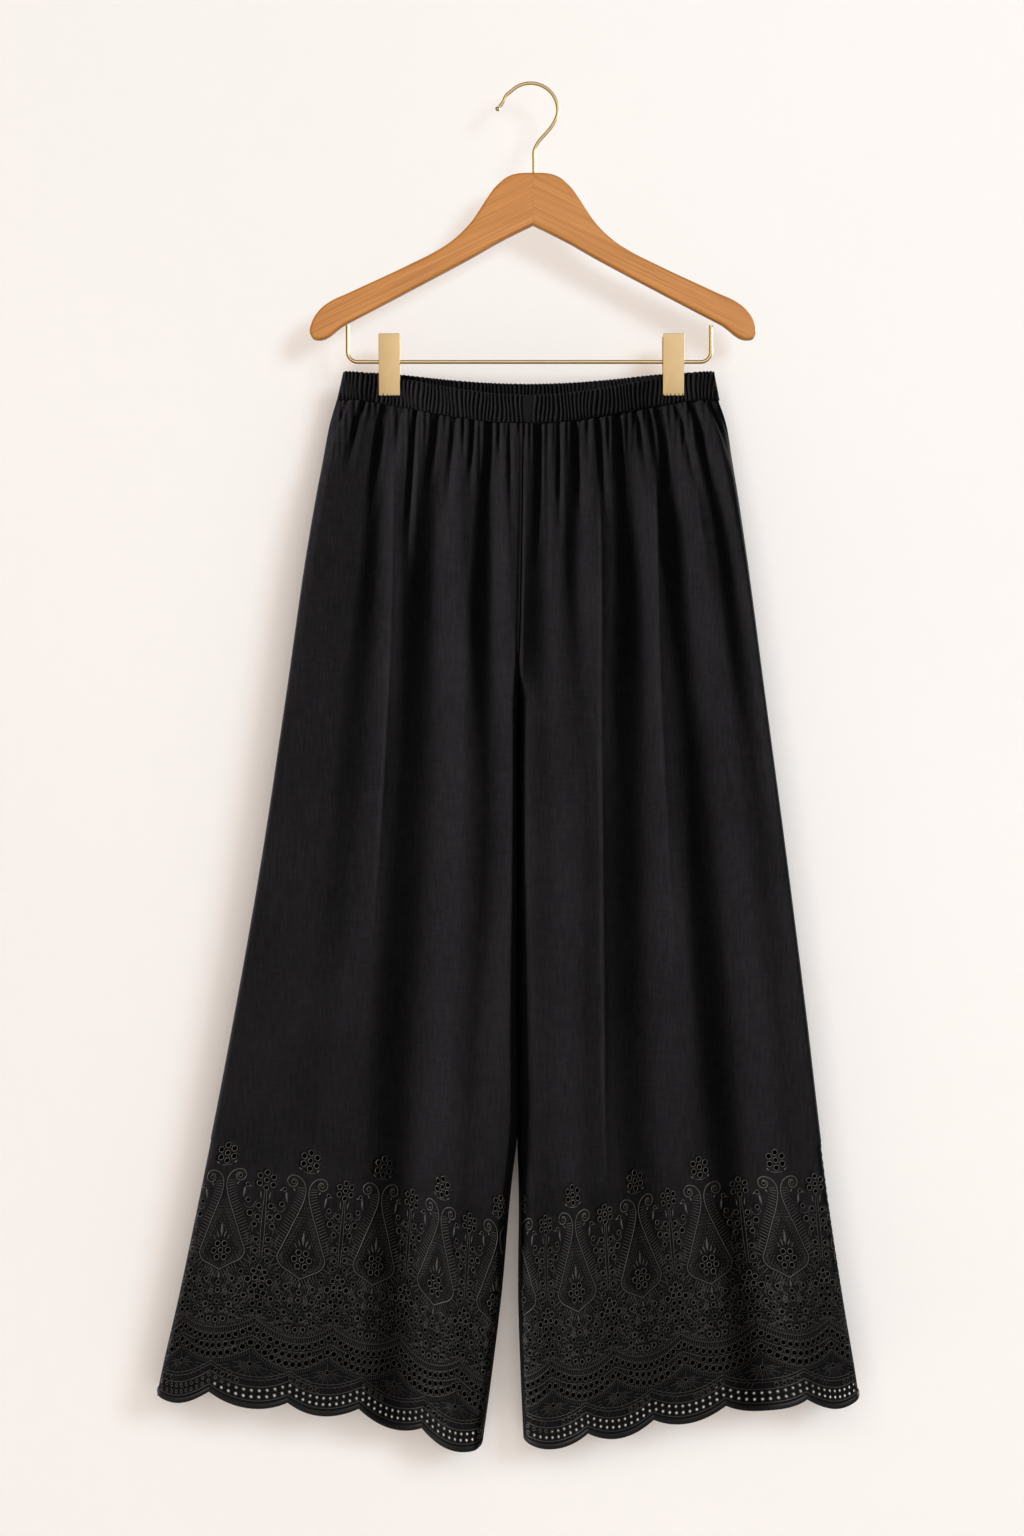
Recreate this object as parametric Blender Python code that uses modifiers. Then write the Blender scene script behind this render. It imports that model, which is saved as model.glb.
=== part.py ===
"""Palazzo pants with a scalloped hem, hanging on a wooden clip hanger.

Metres, +Z up. The origin is the inside top of the hook, where the hanger hangs on a rod.
The front faces -Y, and "left" and "right" are as seen from the front, so left is -X.
Tables hold millimetres: a drop is measured down from the origin.
"""

import math
from collections import namedtuple

import bmesh
import bpy
import numpy as np

MM = 0.001
COLLECTION = "palazzo_pants_on_clip_hanger"
SIDES = ("left", "right")
FACES = ("front", "back")

# Cloth walls
CLOTH = 1.5
SEAM_GAP = 0.3
EDGE = SEAM_GAP / 2 + CLOTH
CROTCH_DROP = 605.0
SEAM_START = 327.0

# Waistband
BAND_HEIGHT = 27.5
BAND_WALL = 2.0
RIB_HEIGHT = 1.0
RIBS = 44
BAND_DROP = 315.0
BAND_MIDDLE = -2.0
BAND_BOTTOM_SIDE = {"left": -193.0, "right": 188.0}
BAND_TOP_SIDE = {"left": -188.0, "right": 184.0}
SAG = {"front": 25.5, "back": 10.0}
SAG_HALF = 186.0
PATCH = (-7.0, 2.5)

# Hem
SCALLOPS = 5
SCALLOP_DROP = 11.0
SCALLOP_FROM = 0.9
BACK_HEM_RISE = 14.0

# Hanger
WOOD_THICK = 12.0
WOOD_ROUND = 3.0
HANGER_MIDDLE = 3.0
HOOK_WIRE = 3.5
HOOK_CENTRE = (0.5, -25.5)
HOOK_RADIUS = 27.25
BALL_RADIUS = 2.4
BAR_WIRE = 3.8
BAR_DROP = 277.0
BAR_END_DROP = 240.4
BAR_BEND = 10.0
BAR_BEND_STEPS = 4
BAR_ENDS = (-182.4, 180.8)
CLIP_MIDDLES = {"left": -140.3, "right": 143.2}
CLIP_WIDTH = 21.3
CLIP_LENGTH = 61.5
CLIP_PLATE = 1.2
CLIP_BOTTOM_DROP = 311.2
CLIP_JAW = 3.5
CLIP_MOUTH = 9.2
SPRING_LENGTH = 13.0
SPRING_OUTER = 6.0
SPRING_INNER = 2.2
SPRING_SIDES = 20
SMOOTH_ANGLE = math.radians(40)
SOFT_EDGE = 0.4

Section = namedtuple("Section", "drop left_side left_inner right_inner right_side")
SECTIONS = (
    Section(315, -193, -7.0, -7.0, 188),
    Section(335, -199, -7.5, -7.5, 195),
    Section(375, -207, -8.0, -8.0, 202),
    Section(455, -221, -9.0, -9.0, 214),
    Section(615, -244, -12.0, -12.0, 235),
    Section(775, -268, -13.2, -12.6, 256),
    Section(935, -296, -13.2, -12.2, 276),
    Section(1055, -319, -14.2, -11.6, 290),
    Section(1095, -327, -18.0, -11.5, 295),
    Section(1215, -352, -29.0, -11.8, 313),
    Section(1300, -371, -39.5, -9.0, 327),
    Section(1355, -380, -47.0, -6.5, 333),
)

# How far each face stands out from the middle plane along the band, by the distance from its middle
BandDepth = namedtuple("BandDepth", "away depth")
BAND_DEPTHS = (
    BandDepth(0, 14.0),
    BandDepth(60, 11.0),
    BandDepth(100, 5.5),
    BandDepth(124, 0.8),
    BandDepth(130, 0.0),
    BandDepth(154, 0.0),
    BandDepth(166, 2.0),
    BandDepth(178, 1.8),
    BandDepth(192, 0.0),
)

# How far a leg's face stands out below the band, by the share of the way to the hem
LegDepth = namedtuple("LegDepth", "down depth")
LEG_DEPTHS = (
    LegDepth(0.0, 12.0),
    LegDepth(0.12, 18.0),
    LegDepth(0.3, 24.0),
    LegDepth(0.6, 27.0),
    LegDepth(1.0, 25.0),
)
BAND_HOLD = 0.12
ROUNDED_SHARE = 0.35

# Where the hem's cusps lie across the leg, outer side to inner, and how low the hem hangs there
HemPoint = namedtuple("HemPoint", "cloth across left_drop right_drop")
HEM = (
    HemPoint(0.0, 0.0, 1301.6, 1303.0),
    HemPoint(0.2, 0.16, 1299.5, 1307.5),
    HemPoint(0.4, 0.40, 1310.5, 1313.5),
    HemPoint(0.6, 0.615, 1316.5, 1327.5),
    HemPoint(0.8, 0.81, 1338.0, 1341.0),
    HemPoint(1.0, 1.0, 1355.0, 1352.5),
)

# Valleys between gathers: their place across the leg at the band and at the knee, and the height and
# reach of the gather on the inner side of each
Gather = namedtuple("Gather", "waist knee height reach")
GATHERS = {
    ("left", "front"): (
        Gather(0.0, 0.0, 2.0, 0.14),
        Gather(0.075, 0.08, 3.5, 0.20),
        Gather(0.155, 0.19, 4.5, 0.30),
        Gather(0.242, 0.35, 5.5, 0.42),
        Gather(0.34, 0.50, 3.5, 0.22),
        Gather(0.407, 0.59, 6.0, 0.45),
        Gather(0.54, 0.73, 4.5, 0.26),
        Gather(0.634, 0.79, 5.0, 0.24),
        Gather(0.742, 0.85, 4.0, 0.30),
        Gather(0.814, 0.90, 4.5, 0.24),
        Gather(0.923, 0.96, 2.5, 0.16),
    ),
    ("right", "front"): (
        Gather(0.0, 0.0, 3.0, 0.14),
        Gather(0.103, 0.11, 2.5, 0.18),
        Gather(0.152, 0.18, 4.0, 0.36),
        Gather(0.225, 0.29, 4.5, 0.22),
        Gather(0.319, 0.39, 3.0, 0.30),
        Gather(0.373, 0.44, 3.5, 0.18),
        Gather(0.436, 0.50, 5.5, 0.32),
        Gather(0.544, 0.59, 4.5, 0.40),
        Gather(0.637, 0.70, 5.5, 0.26),
        Gather(0.755, 0.82, 3.5, 0.20),
        Gather(0.833, 0.88, 4.5, 0.28),
        Gather(0.926, 0.95, 2.5, 0.15),
    ),
    ("left", "back"): (
        Gather(0.0, 0.0, 2.5, 0.14),
        Gather(0.09, 0.10, 4.0, 0.24),
        Gather(0.19, 0.24, 3.5, 0.18),
        Gather(0.27, 0.36, 5.0, 0.36),
        Gather(0.38, 0.49, 4.0, 0.22),
        Gather(0.47, 0.60, 5.5, 0.40),
        Gather(0.58, 0.70, 4.5, 0.24),
        Gather(0.67, 0.78, 4.0, 0.30),
        Gather(0.76, 0.84, 4.5, 0.20),
        Gather(0.86, 0.91, 3.5, 0.26),
        Gather(0.94, 0.97, 2.0, 0.14),
    ),
    ("right", "back"): (
        Gather(0.0, 0.0, 2.0, 0.16),
        Gather(0.07, 0.08, 4.5, 0.20),
        Gather(0.17, 0.21, 4.0, 0.34),
        Gather(0.26, 0.34, 4.5, 0.22),
        Gather(0.35, 0.44, 5.5, 0.28),
        Gather(0.46, 0.55, 3.5, 0.18),
        Gather(0.54, 0.63, 5.0, 0.38),
        Gather(0.65, 0.73, 4.5, 0.24),
        Gather(0.75, 0.82, 3.5, 0.30),
        Gather(0.83, 0.88, 4.5, 0.20),
        Gather(0.93, 0.96, 2.0, 0.14),
    ),
}
KNEE = 0.45
GATHER_START = 0.35
GATHER_FULL = 0.03
GATHER_FADE = 0.3
CREST_POWER = 0.8

# Long folds: their place across the leg at the band, knee and hem, the depth of the trough at the knee
# and hem, and its half width as a share of the leg's width
Fold = namedtuple("Fold", "waist knee hem knee_depth hem_depth width")
FOLDS = {
    ("left", "front"): (
        Fold(0.155, 0.18, 0.20, 2.0, 4.5, 0.055),
        Fold(0.242, 0.36, 0.43, 4.5, 5.0, 0.050),
        Fold(0.407, 0.58, 0.70, 9.0, 6.5, 0.052),
        Fold(0.54, 0.73, 0.87, 4.5, 3.5, 0.035),
    ),
    ("right", "front"): (
        Fold(0.152, 0.18, 0.205, 4.5, 5.0, 0.045),
        Fold(0.319, 0.39, 0.43, 9.0, 6.0, 0.050),
        Fold(0.544, 0.59, 0.62, 7.0, 5.0, 0.045),
        Fold(0.80, 0.82, 0.82, 2.0, 4.0, 0.045),
    ),
    ("left", "back"): (
        Fold(0.19, 0.22, 0.24, 4.0, 5.5, 0.050),
        Fold(0.38, 0.46, 0.50, 7.5, 6.0, 0.050),
        Fold(0.67, 0.74, 0.78, 6.0, 5.0, 0.045),
    ),
    ("right", "back"): (
        Fold(0.17, 0.20, 0.23, 3.5, 5.0, 0.050),
        Fold(0.35, 0.42, 0.46, 8.0, 6.0, 0.052),
        Fold(0.54, 0.62, 0.66, 4.0, 5.0, 0.045),
        Fold(0.75, 0.80, 0.84, 5.0, 3.5, 0.040),
    ),
}
FOLD_START = 0.16
FOLD_EDGE = 0.06
FOLD_LIMIT = 0.7

# Each leg panel is made in three lengths, parted at the crotch and above the embroidered border
LegPart = namedtuple("LegPart", "name start end")
LEG_PARTS = (
    LegPart("hip", 0.0, 0.285),
    LegPart("thigh", 0.285, 0.74),
    LegPart("border", 0.74, 1.0),
)
SHORTEST_LEG = 950.0

# Rows and columns of the cloth walls
LEG_ROWS = (0.0, 0.015, 0.04, 0.08, 0.14, 0.21, 0.285, 0.38, 0.5, 0.62, 0.74, 0.85, 0.93, 0.972, 1.0)
LEG_COLUMNS = 40
EDGE_COLUMN = 0.008
BAND_ROWS = ((0.0, 0.3), (0.12, 1.0), (0.88, 1.0), (1.0, 0.3))

# Outline of the left arm from the top of the joint, along the top to the tip and back underneath
ARM_OUTLINE = (
    (0, -88.3, "VECTOR"), (-27, -93, "AUTO"), (-39, -102, "AUTO"), (-51, -122, "AUTO"),
    (-63, -138, "AUTO"), (-78, -154, "AUTO"), (-93, -164.5, "AUTO"), (-123, -180, "AUTO"),
    (-183, -208, "AUTO"), (-204, -218, "AUTO"), (-214.5, -227, "AUTO"), (-221.4, -239, "AUTO"),
    (-222.6, -249, "AUTO"), (-217.5, -255, "AUTO"), (-186, -239, "AUTO"), (-123, -206, "AUTO"),
    (-63, -174, "AUTO"), (-33, -157, "AUTO"), (0, -140.5, "VECTOR"),
)
# The hook's wire from the stem's foot to where its arc starts, and from the arc's end to the tip
HOOK_STEM = ((4.0, -87.9), (4.0, -76.0), (4.2, -66.0), (8.5, -57.0), (15.5, -49.0), (22.0, -41.0), (26.4, -32.5))
HOOK_ARC = (-5.0, 135.0)
HOOK_ARC_STEPS = 16
HOOK_FLARE = ((-23.6, -10.4), (-27.0, -17.2), (-30.2, -21.8))
BALL_PLACE = (-32.4, -23.9)


def column(rows, name):
    """One named column of a table, as an array."""
    return np.array([getattr(row, name) for row in rows], float)


def follow(xs, ys, x):
    """A smooth curve through a table's points, read at x."""
    x = min(max(x, xs[0]), xs[-1])
    slopes = np.gradient(ys, xs)
    i = min(max(int(np.searchsorted(xs, x)) - 1, 0), len(xs) - 2)
    span = xs[i + 1] - xs[i]
    t = (x - xs[i]) / span
    ease = t * t * (3 - 2 * t)
    start = slopes[i] * span * (t - 2 * t * t + t * t * t)
    end = slopes[i + 1] * span * (t * t * t - t * t)
    return ys[i] + (ys[i + 1] - ys[i]) * ease + start + end


def blend(low, high, x):
    """0 below low, 1 above high, and a soft step between."""
    t = min(max((x - low) / (high - low), 0.0), 1.0)
    return t * t * (3 - 2 * t)


def quarter(share):
    """Height of a quarter circle, 0 at its edge and 1 at its top."""
    t = min(max(share, 0.0), 1.0)
    return math.sqrt(1 - (1 - t) ** 2)


DROPS = column(SECTIONS, "drop")
EDGES = {name: column(SECTIONS, name) for name in Section._fields[1:]}
AWAYS = column(BAND_DEPTHS, "away")
BAND_OUT = column(BAND_DEPTHS, "depth")
DOWNS = column(LEG_DEPTHS, "down")
LEG_OUT = column(LEG_DEPTHS, "depth")
HEM_CLOTH = column(HEM, "cloth")
HEM_ACROSS = column(HEM, "across")


def sag(x, face):
    """How far the band hangs below its ends, x millimetres from the origin."""
    return SAG[face] * max(0.0, 1 - ((x - BAND_MIDDLE) / SAG_HALF) ** 2) ** 2


def band_depth(x):
    """How far the inside of the band stands from the middle plane: nothing where the clips pinch it."""
    return max(0.0, follow(AWAYS, BAND_OUT, abs(x - BAND_MIDDLE)))


def leg_edges(side, drop):
    """The leg's outer side and its inner edge at a drop, half a seam gap clear of the other leg."""
    outer = follow(DROPS, EDGES[side + "_side"], drop)
    inner = follow(DROPS, EDGES[side + "_inner"], drop)
    inner += SEAM_GAP / 2 * (-1 if side == "left" else 1)
    return outer, inner


def gather_height(side, face, across, down):
    """How far the small gathers under the band stand out."""
    rows = GATHERS[side, face]
    slide = min(down / KNEE, 1.0)
    valleys = [row.waist + (row.knee - row.waist) * slide for row in rows] + [1.0]
    i = min(max(int(np.searchsorted(valleys, across)) - 1, 0), len(rows) - 1)
    t = min(max((across - valleys[i]) / (valleys[i + 1] - valleys[i]), 0.0), 1.0)
    grown = GATHER_START + (1 - GATHER_START) * blend(0.0, GATHER_FULL, down)
    left = 1 - blend(rows[i].reach * GATHER_FADE, rows[i].reach, down)
    return rows[i].height * grown * left * math.sin(math.pi * t) ** CREST_POWER


def fold_depth(side, face, across, down):
    """How deep the long folds sink into the leg."""
    depth = 0.0
    for row in FOLDS[side, face]:
        if down < KNEE:
            place = row.waist + (row.knee - row.waist) * down / KNEE
            most = row.knee_depth * blend(0.0, FOLD_START, down)
        else:
            t = (down - KNEE) / (1 - KNEE)
            place = row.knee + (row.hem - row.knee) * t
            most = row.knee_depth + (row.hem_depth - row.knee_depth) * t
        depth += most * math.exp(-(((across - place) / row.width) ** 2))
    return depth * blend(0.0, FOLD_EDGE, across) * blend(0.0, FOLD_EDGE, 1 - across)


def hem_drop(side, face, cloth):
    """Where the hem lies: its slope towards the inseam, its scallops and the higher back."""
    line = follow(HEM_CLOTH, column(HEM, side + "_drop"), cloth)
    rise = BACK_HEM_RISE * math.sin(math.pi * cloth) ** 0.5 if face == "back" else 0.0
    return line - rise


def scallop(cloth):
    """How far a scallop's edge hangs below the line through its two cusps."""
    t = cloth * SCALLOPS % 1.0
    return SCALLOP_DROP * 4 * t * (1 - t)


def leg_point(side, face, cloth, down):
    """A point of a leg panel's outside: cloth runs from the side seam to the inner seam, down from the
    band to the hem, both from 0 to 1."""
    across = follow(HEM_CLOTH, HEM_ACROSS, cloth)
    band_outer, band_inner = leg_edges(side, BAND_DROP)
    band_x = band_outer + (band_inner - band_outer) * across
    top = BAND_DROP + SEAM_GAP + sag(band_x, face)
    drop = top + (hem_drop(side, face, cloth) - top) * down + scallop(cloth) * blend(SCALLOP_FROM, 1.0, down)
    outer, inner = leg_edges(side, drop)
    x = outer + (inner - outer) * across
    seam = min(max((drop - SEAM_START) / (CROTCH_DROP - SEAM_START), 0.0), 1.0)
    centre = math.sqrt(1 - seam * seam)
    close = quarter((1 - across) / ROUNDED_SHARE)
    round_off = quarter(across / ROUNDED_SHARE) * (centre + (1 - centre) * close)
    held = 1 - blend(0.0, BAND_HOLD, down)
    out = band_depth(band_x) * held + follow(DOWNS, LEG_OUT, down) * round_off * (1 - held)
    out += gather_height(side, face, across, down) * blend(0.0, FOLD_EDGE, 1 - across)
    out -= min(fold_depth(side, face, across, down), out * FOLD_LIMIT)
    toward = -1 if face == "front" else 1
    return x, toward * (EDGE + out), -drop


def part_rows(part):
    """The heights of a length's rows, starting a seam gap below the length above it."""
    start = part.start + (SEAM_GAP / SHORTEST_LEG if part.start else 0.0)
    return [start, *[row for row in LEG_ROWS if part.start < row < part.end], part.end]


def leg_walls(side, face, part):
    """The outer and inner points of one length of a leg panel, a row of points for each height."""
    cloth = [i / LEG_COLUMNS for i in range(LEG_COLUMNS + 1)]
    cloth = sorted([*cloth, EDGE_COLUMN, 1 - EDGE_COLUMN])
    outer = np.array([[leg_point(side, face, c, down) for c in cloth] for down in part_rows(part)])
    inner = outer - CLOTH * outward(outer, face)
    toward = -1 if face == "front" else 1
    inner[..., 1] = toward * np.maximum(toward * inner[..., 1], SEAM_GAP / 2)
    ends = leg_ends(side, outer)
    inner[..., 0] = np.clip(inner[..., 0], ends.min(axis=1)[:, None], ends.max(axis=1)[:, None])
    inner[0, :, 2] = outer[0, :, 2]
    inner[-1, :, 2] = outer[-1, :, 2]
    return outer, inner


def leg_ends(side, outer):
    """The x of a panel's side seam and of its inner seam, row by row."""
    return np.stack([outer[:, 0, 0], outer[:, -1, 0]], axis=1)


def outward(points, face):
    """Unit normals of a grid of points, on the side that the face looks to."""
    along = np.gradient(points, axis=1)
    downward = np.gradient(points, axis=0)
    normals = np.cross(along, downward)
    normals /= np.linalg.norm(normals, axis=2, keepdims=True)
    toward = -1 if face == "front" else 1
    return normals * np.sign(normals[..., 1:2]) * toward


def band_walls(face):
    """The outer and inner points of a waistband: ribs raised over a plain inside."""
    toward = -1 if face == "front" else 1
    columns = 2 * RIBS
    outer, inner = [], []
    for height, rib_share in BAND_ROWS:
        left = BAND_BOTTOM_SIDE["left"] + (BAND_TOP_SIDE["left"] - BAND_BOTTOM_SIDE["left"]) * height
        right = BAND_BOTTOM_SIDE["right"] + (BAND_TOP_SIDE["right"] - BAND_BOTTOM_SIDE["right"]) * height
        outer_row, inner_row = [], []
        for i in range(columns + 1):
            x = left + (right - left) * i / columns
            z = BAND_HEIGHT * height - BAND_DROP - sag(x, face)
            plain = PATCH[0] <= x <= PATCH[1]
            rib = RIB_HEIGHT * rib_share * (i % 2) * (not plain)
            depth = SEAM_GAP / 2 + band_depth(x)
            outer_row.append((x, toward * (depth + BAND_WALL + rib), z))
            inner_row.append((x, toward * depth, z))
        outer.append(outer_row)
        inner.append(inner_row)
    return np.array(outer), np.array(inner)


def wall(name, outer, inner, material):
    """A closed wall between two grids of points."""
    mesh = bpy.data.meshes.new(name)
    bm = bmesh.new()
    rows, columns, _ = outer.shape
    grids = [[[bm.verts.new(p * MM) for p in row] for row in grid] for grid in (outer, inner)]
    for r in range(rows - 1):
        for c in range(columns - 1):
            for grid in grids:
                bm.faces.new((grid[r][c], grid[r][c + 1], grid[r + 1][c + 1], grid[r + 1][c]))
    rim = [(0, c) for c in range(columns)]
    rim += [(r, columns - 1) for r in range(1, rows)]
    rim += [(rows - 1, c) for c in range(columns - 2, -1, -1)]
    rim += [(r, 0) for r in range(rows - 2, 0, -1)]
    for (r0, c0), (r1, c1) in zip(rim, rim[1:] + rim[:1]):
        bm.faces.new((grids[0][r0][c0], grids[0][r1][c1], grids[1][r1][c1], grids[1][r0][c0]))
    bmesh.ops.recalc_face_normals(bm, faces=bm.faces)
    bm.to_mesh(mesh)
    bm.free()
    return add_object(name, mesh, material)


def add_object(name, data, material):
    obj = bpy.data.objects.new(name, data)
    data.materials.append(material)
    bpy.data.collections[COLLECTION].objects.link(obj)
    if isinstance(data, bpy.types.Mesh):
        data.shade_smooth()
        data.set_sharp_from_angle(angle=SMOOTH_ANGLE)
    return obj


def collect(obj):
    """Moves a primitive into the part's own collection."""
    for holder in list(obj.users_collection):
        holder.objects.unlink(obj)
    bpy.data.collections[COLLECTION].objects.link(obj)


def make_material(name, colour, roughness, metallic=0.0):
    material = bpy.data.materials.new(name)
    material.use_nodes = True
    shader = material.node_tree.nodes["Principled BSDF"]
    shader.inputs["Base Color"].default_value = (*colour, 1.0)
    shader.inputs["Roughness"].default_value = roughness
    shader.inputs["Metallic"].default_value = metallic
    return material


def tube(name, points, wire, material):
    """A round wire through points (x, z), in the middle plane."""
    curve = bpy.data.curves.new(name, "CURVE")
    curve.dimensions = "3D"
    curve.bevel_depth = wire / 2 * MM
    curve.bevel_resolution = 2
    curve.use_fill_caps = True
    spline = curve.splines.new("POLY")
    spline.points.add(len(points) - 1)
    for point, (x, z) in zip(spline.points, points):
        point.co = (x * MM, 0.0, z * MM, 1.0)
    return add_object(name, curve, material)


def make_arm(side, material):
    """One half of the wooden arch, a flat outline with rounded edges."""
    mirror = 1 if side == "left" else -1
    name = "hanger_wood_" + side
    curve = bpy.data.curves.new(name, "CURVE")
    curve.dimensions = "2D"
    curve.fill_mode = "BOTH"
    curve.resolution_u = 3
    curve.offset = -WOOD_ROUND * MM
    curve.bevel_depth = WOOD_ROUND * MM
    curve.bevel_resolution = 1
    curve.extrude = (WOOD_THICK / 2 - WOOD_ROUND) * MM
    spline = curve.splines.new("BEZIER")
    spline.use_cyclic_u = True
    spline.bezier_points.add(len(ARM_OUTLINE) - 1)
    for point, (x, z, handle) in zip(spline.bezier_points, ARM_OUTLINE):
        across = min(x, -SEAM_GAP / 2)
        point.co = (across * mirror * MM, z * MM, 0.0)
        point.handle_left_type = handle
        point.handle_right_type = handle
    arm = add_object(name, curve, material)
    arm.location.x = HANGER_MIDDLE * MM
    arm.rotation_euler.x = math.pi / 2
    return arm


def hook_points():
    """The hook's centreline: stem, an arc over the rod, and a short flare."""
    start, end = (math.radians(angle) for angle in HOOK_ARC)
    turn = (end - start) / HOOK_ARC_STEPS
    angles = [start + turn * i for i in range(HOOK_ARC_STEPS + 1)]
    x, z = HOOK_CENTRE
    arc = [(x + HOOK_RADIUS * math.cos(a), z + HOOK_RADIUS * math.sin(a)) for a in angles]
    return [*HOOK_STEM, *arc, *HOOK_FLARE]


def bar_points():
    """The bar's centreline: down from each arm, round a bend and straight across."""
    left, right = BAR_ENDS
    bend = []
    for i in range(BAR_BEND_STEPS + 1):
        angle = math.pi / 2 * i / BAR_BEND_STEPS
        bend.append((BAR_BEND * (1 - math.cos(angle)), BAR_BEND * (1 - math.sin(angle))))
    down = [(left + x, z - BAR_DROP) for x, z in bend]
    up = [(right - x, z - BAR_DROP) for x, z in reversed(bend)]
    return [(left, -BAR_END_DROP), *down, *up, (right, -BAR_END_DROP)]


def make_plate(side, face, material):
    """A clip's flat leaf, leaning so that its foot bites the band and its head stands open."""
    toward = -1 if face == "front" else 1
    bpy.ops.mesh.primitive_cube_add(size=1.0)
    plate = bpy.context.active_object
    plate.name = f"clip_{side}_{face}"
    plate.data.name = plate.name
    for vertex in plate.data.vertices:
        vertex.co.x *= CLIP_WIDTH * MM
        vertex.co.y *= CLIP_PLATE * MM
        vertex.co.z = (vertex.co.z + 0.5) * CLIP_LENGTH * MM
        vertex.co.y += toward * CLIP_PLATE / 2 * MM
    lean = math.asin((CLIP_MOUTH - CLIP_JAW) / CLIP_LENGTH)
    plate.rotation_euler.x = -toward * lean
    plate.location = (CLIP_MIDDLES[side] * MM, toward * CLIP_JAW * MM, -CLIP_BOTTOM_DROP * MM)
    plate.data.materials.append(material)
    bevel = plate.modifiers.new("soft_edges", "BEVEL")
    bevel.width = SOFT_EDGE * MM
    bevel.segments = 1
    collect(plate)
    return plate


def make_spring(side, material):
    """The coiled spring's barrel round the bar, between a clip's leaves: a turned ring."""
    name = f"clip_{side}_spring"
    half = SPRING_LENGTH / 2
    profile = ((SPRING_OUTER, half), (SPRING_OUTER, -half), (SPRING_INNER, -half), (SPRING_INNER, half))
    mesh = bpy.data.meshes.new(name)
    points = [(radius * MM, 0.0, height * MM) for radius, height in profile]
    mesh.from_pydata(points, [(i, (i + 1) % len(points)) for i in range(len(points))], [])
    spring = bpy.data.objects.new(name, mesh)
    mesh.materials.append(material)
    bpy.data.collections[COLLECTION].objects.link(spring)
    spring.location = (CLIP_MIDDLES[side] * MM, 0.0, -BAR_DROP * MM)
    spring.rotation_euler.y = math.pi / 2
    screw = spring.modifiers.new("turn", "SCREW")
    screw.steps = SPRING_SIDES
    screw.render_steps = SPRING_SIDES
    screw.use_merge_vertices = True
    screw.merge_threshold = 0.00001
    return spring


def make_ball(material):
    bpy.ops.mesh.primitive_uv_sphere_add(segments=12, ring_count=8, radius=BALL_RADIUS * MM)
    ball = bpy.context.active_object
    ball.name = "hanger_hook_tip"
    ball.location = (BALL_PLACE[0] * MM, 0.0, BALL_PLACE[1] * MM)
    ball.data.materials.append(material)
    ball.data.shade_smooth()
    collect(ball)
    return ball


def make_trousers():
    cloth = make_material("cloth", (0.015, 0.014, 0.015), 0.85)
    for face in FACES:
        wall(f"waistband_{face}", *band_walls(face), cloth)
        for side in SIDES:
            for part in LEG_PARTS:
                wall(f"leg_{side}_{face}_{part.name}", *leg_walls(side, face, part), cloth)


def make_hanger():
    wood = make_material("wood", (0.55, 0.26, 0.08), 0.45)
    brass = make_material("brass", (0.66, 0.46, 0.22), 0.35, 1.0)
    tube("hanger_hook", hook_points(), HOOK_WIRE, brass)
    tube("hanger_bar", bar_points(), BAR_WIRE, brass)
    make_ball(brass)
    for side in SIDES:
        make_arm(side, wood)
        make_spring(side, brass)
        for face in FACES:
            make_plate(side, face, brass)


def main():
    for obj in list(bpy.data.objects):
        bpy.data.objects.remove(obj)
    collection = bpy.data.collections.new(COLLECTION)
    bpy.context.scene.collection.children.link(collection)
    make_trousers()
    make_hanger()


main()
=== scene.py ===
"""Looks of the palazzo pants on a clip hanger: cloth, eyelet embroidery, wood, brass, wall and light.

The frame is in metres, +Z up, with its origin at the inside top of the hook. The front faces -Y, and
left is -X as seen from the front. Tables hold millimetres, and a drop is measured down from the origin.
"""

import math
from collections import namedtuple
from contextlib import contextmanager

import bmesh
import bpy
import numpy as np
from mathutils import Matrix, Vector
from mathutils.geometry import delaunay_2d_cdt


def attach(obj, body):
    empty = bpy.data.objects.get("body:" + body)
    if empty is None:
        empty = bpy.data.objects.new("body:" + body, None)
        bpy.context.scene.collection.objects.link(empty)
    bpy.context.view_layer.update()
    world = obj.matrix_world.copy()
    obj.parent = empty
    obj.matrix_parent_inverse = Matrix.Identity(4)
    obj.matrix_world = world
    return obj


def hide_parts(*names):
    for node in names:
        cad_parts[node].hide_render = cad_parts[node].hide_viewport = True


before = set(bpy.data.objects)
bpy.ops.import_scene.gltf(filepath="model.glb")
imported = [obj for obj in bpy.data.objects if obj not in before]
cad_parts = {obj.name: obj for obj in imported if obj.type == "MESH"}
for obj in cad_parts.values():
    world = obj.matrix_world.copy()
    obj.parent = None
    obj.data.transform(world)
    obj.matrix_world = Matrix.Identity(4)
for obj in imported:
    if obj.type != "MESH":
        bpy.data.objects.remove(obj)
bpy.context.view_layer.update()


def table(columns, *rows):
    """A table's rows, with names for their columns."""
    row = namedtuple("Row", columns)
    return [row(*values) for values in rows]


MM = 0.001
SIDES = ("left", "right")
FACES = ("front", "back")
OUTWARD = {"front": -1, "back": 1}

# Cloth, repeated from the solids
CLOTH = 0.9
SEAM_GAP = 0.3
LEG_GAP = 0.02
EDGE = 1.65
CROTCH_DROP = 605.0
SEAM_START = 327.0
BAND_HEIGHT = 27.5
BAND_DROP = 315.0
BAND_MIDDLE = -2.0
BAND_BOTTOM_SIDE = {"left": -193.0, "right": 189.5}
BAND_TOP_SIDE = {"left": -186.5, "right": 184.0}
SAG = {"front": 25.5, "back": 10.0}
SAG_HALF = 186.0
PATCH = (-7.0, 2.5)
SCALLOPS = 5
SCALLOP_DROP = 11.0

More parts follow.
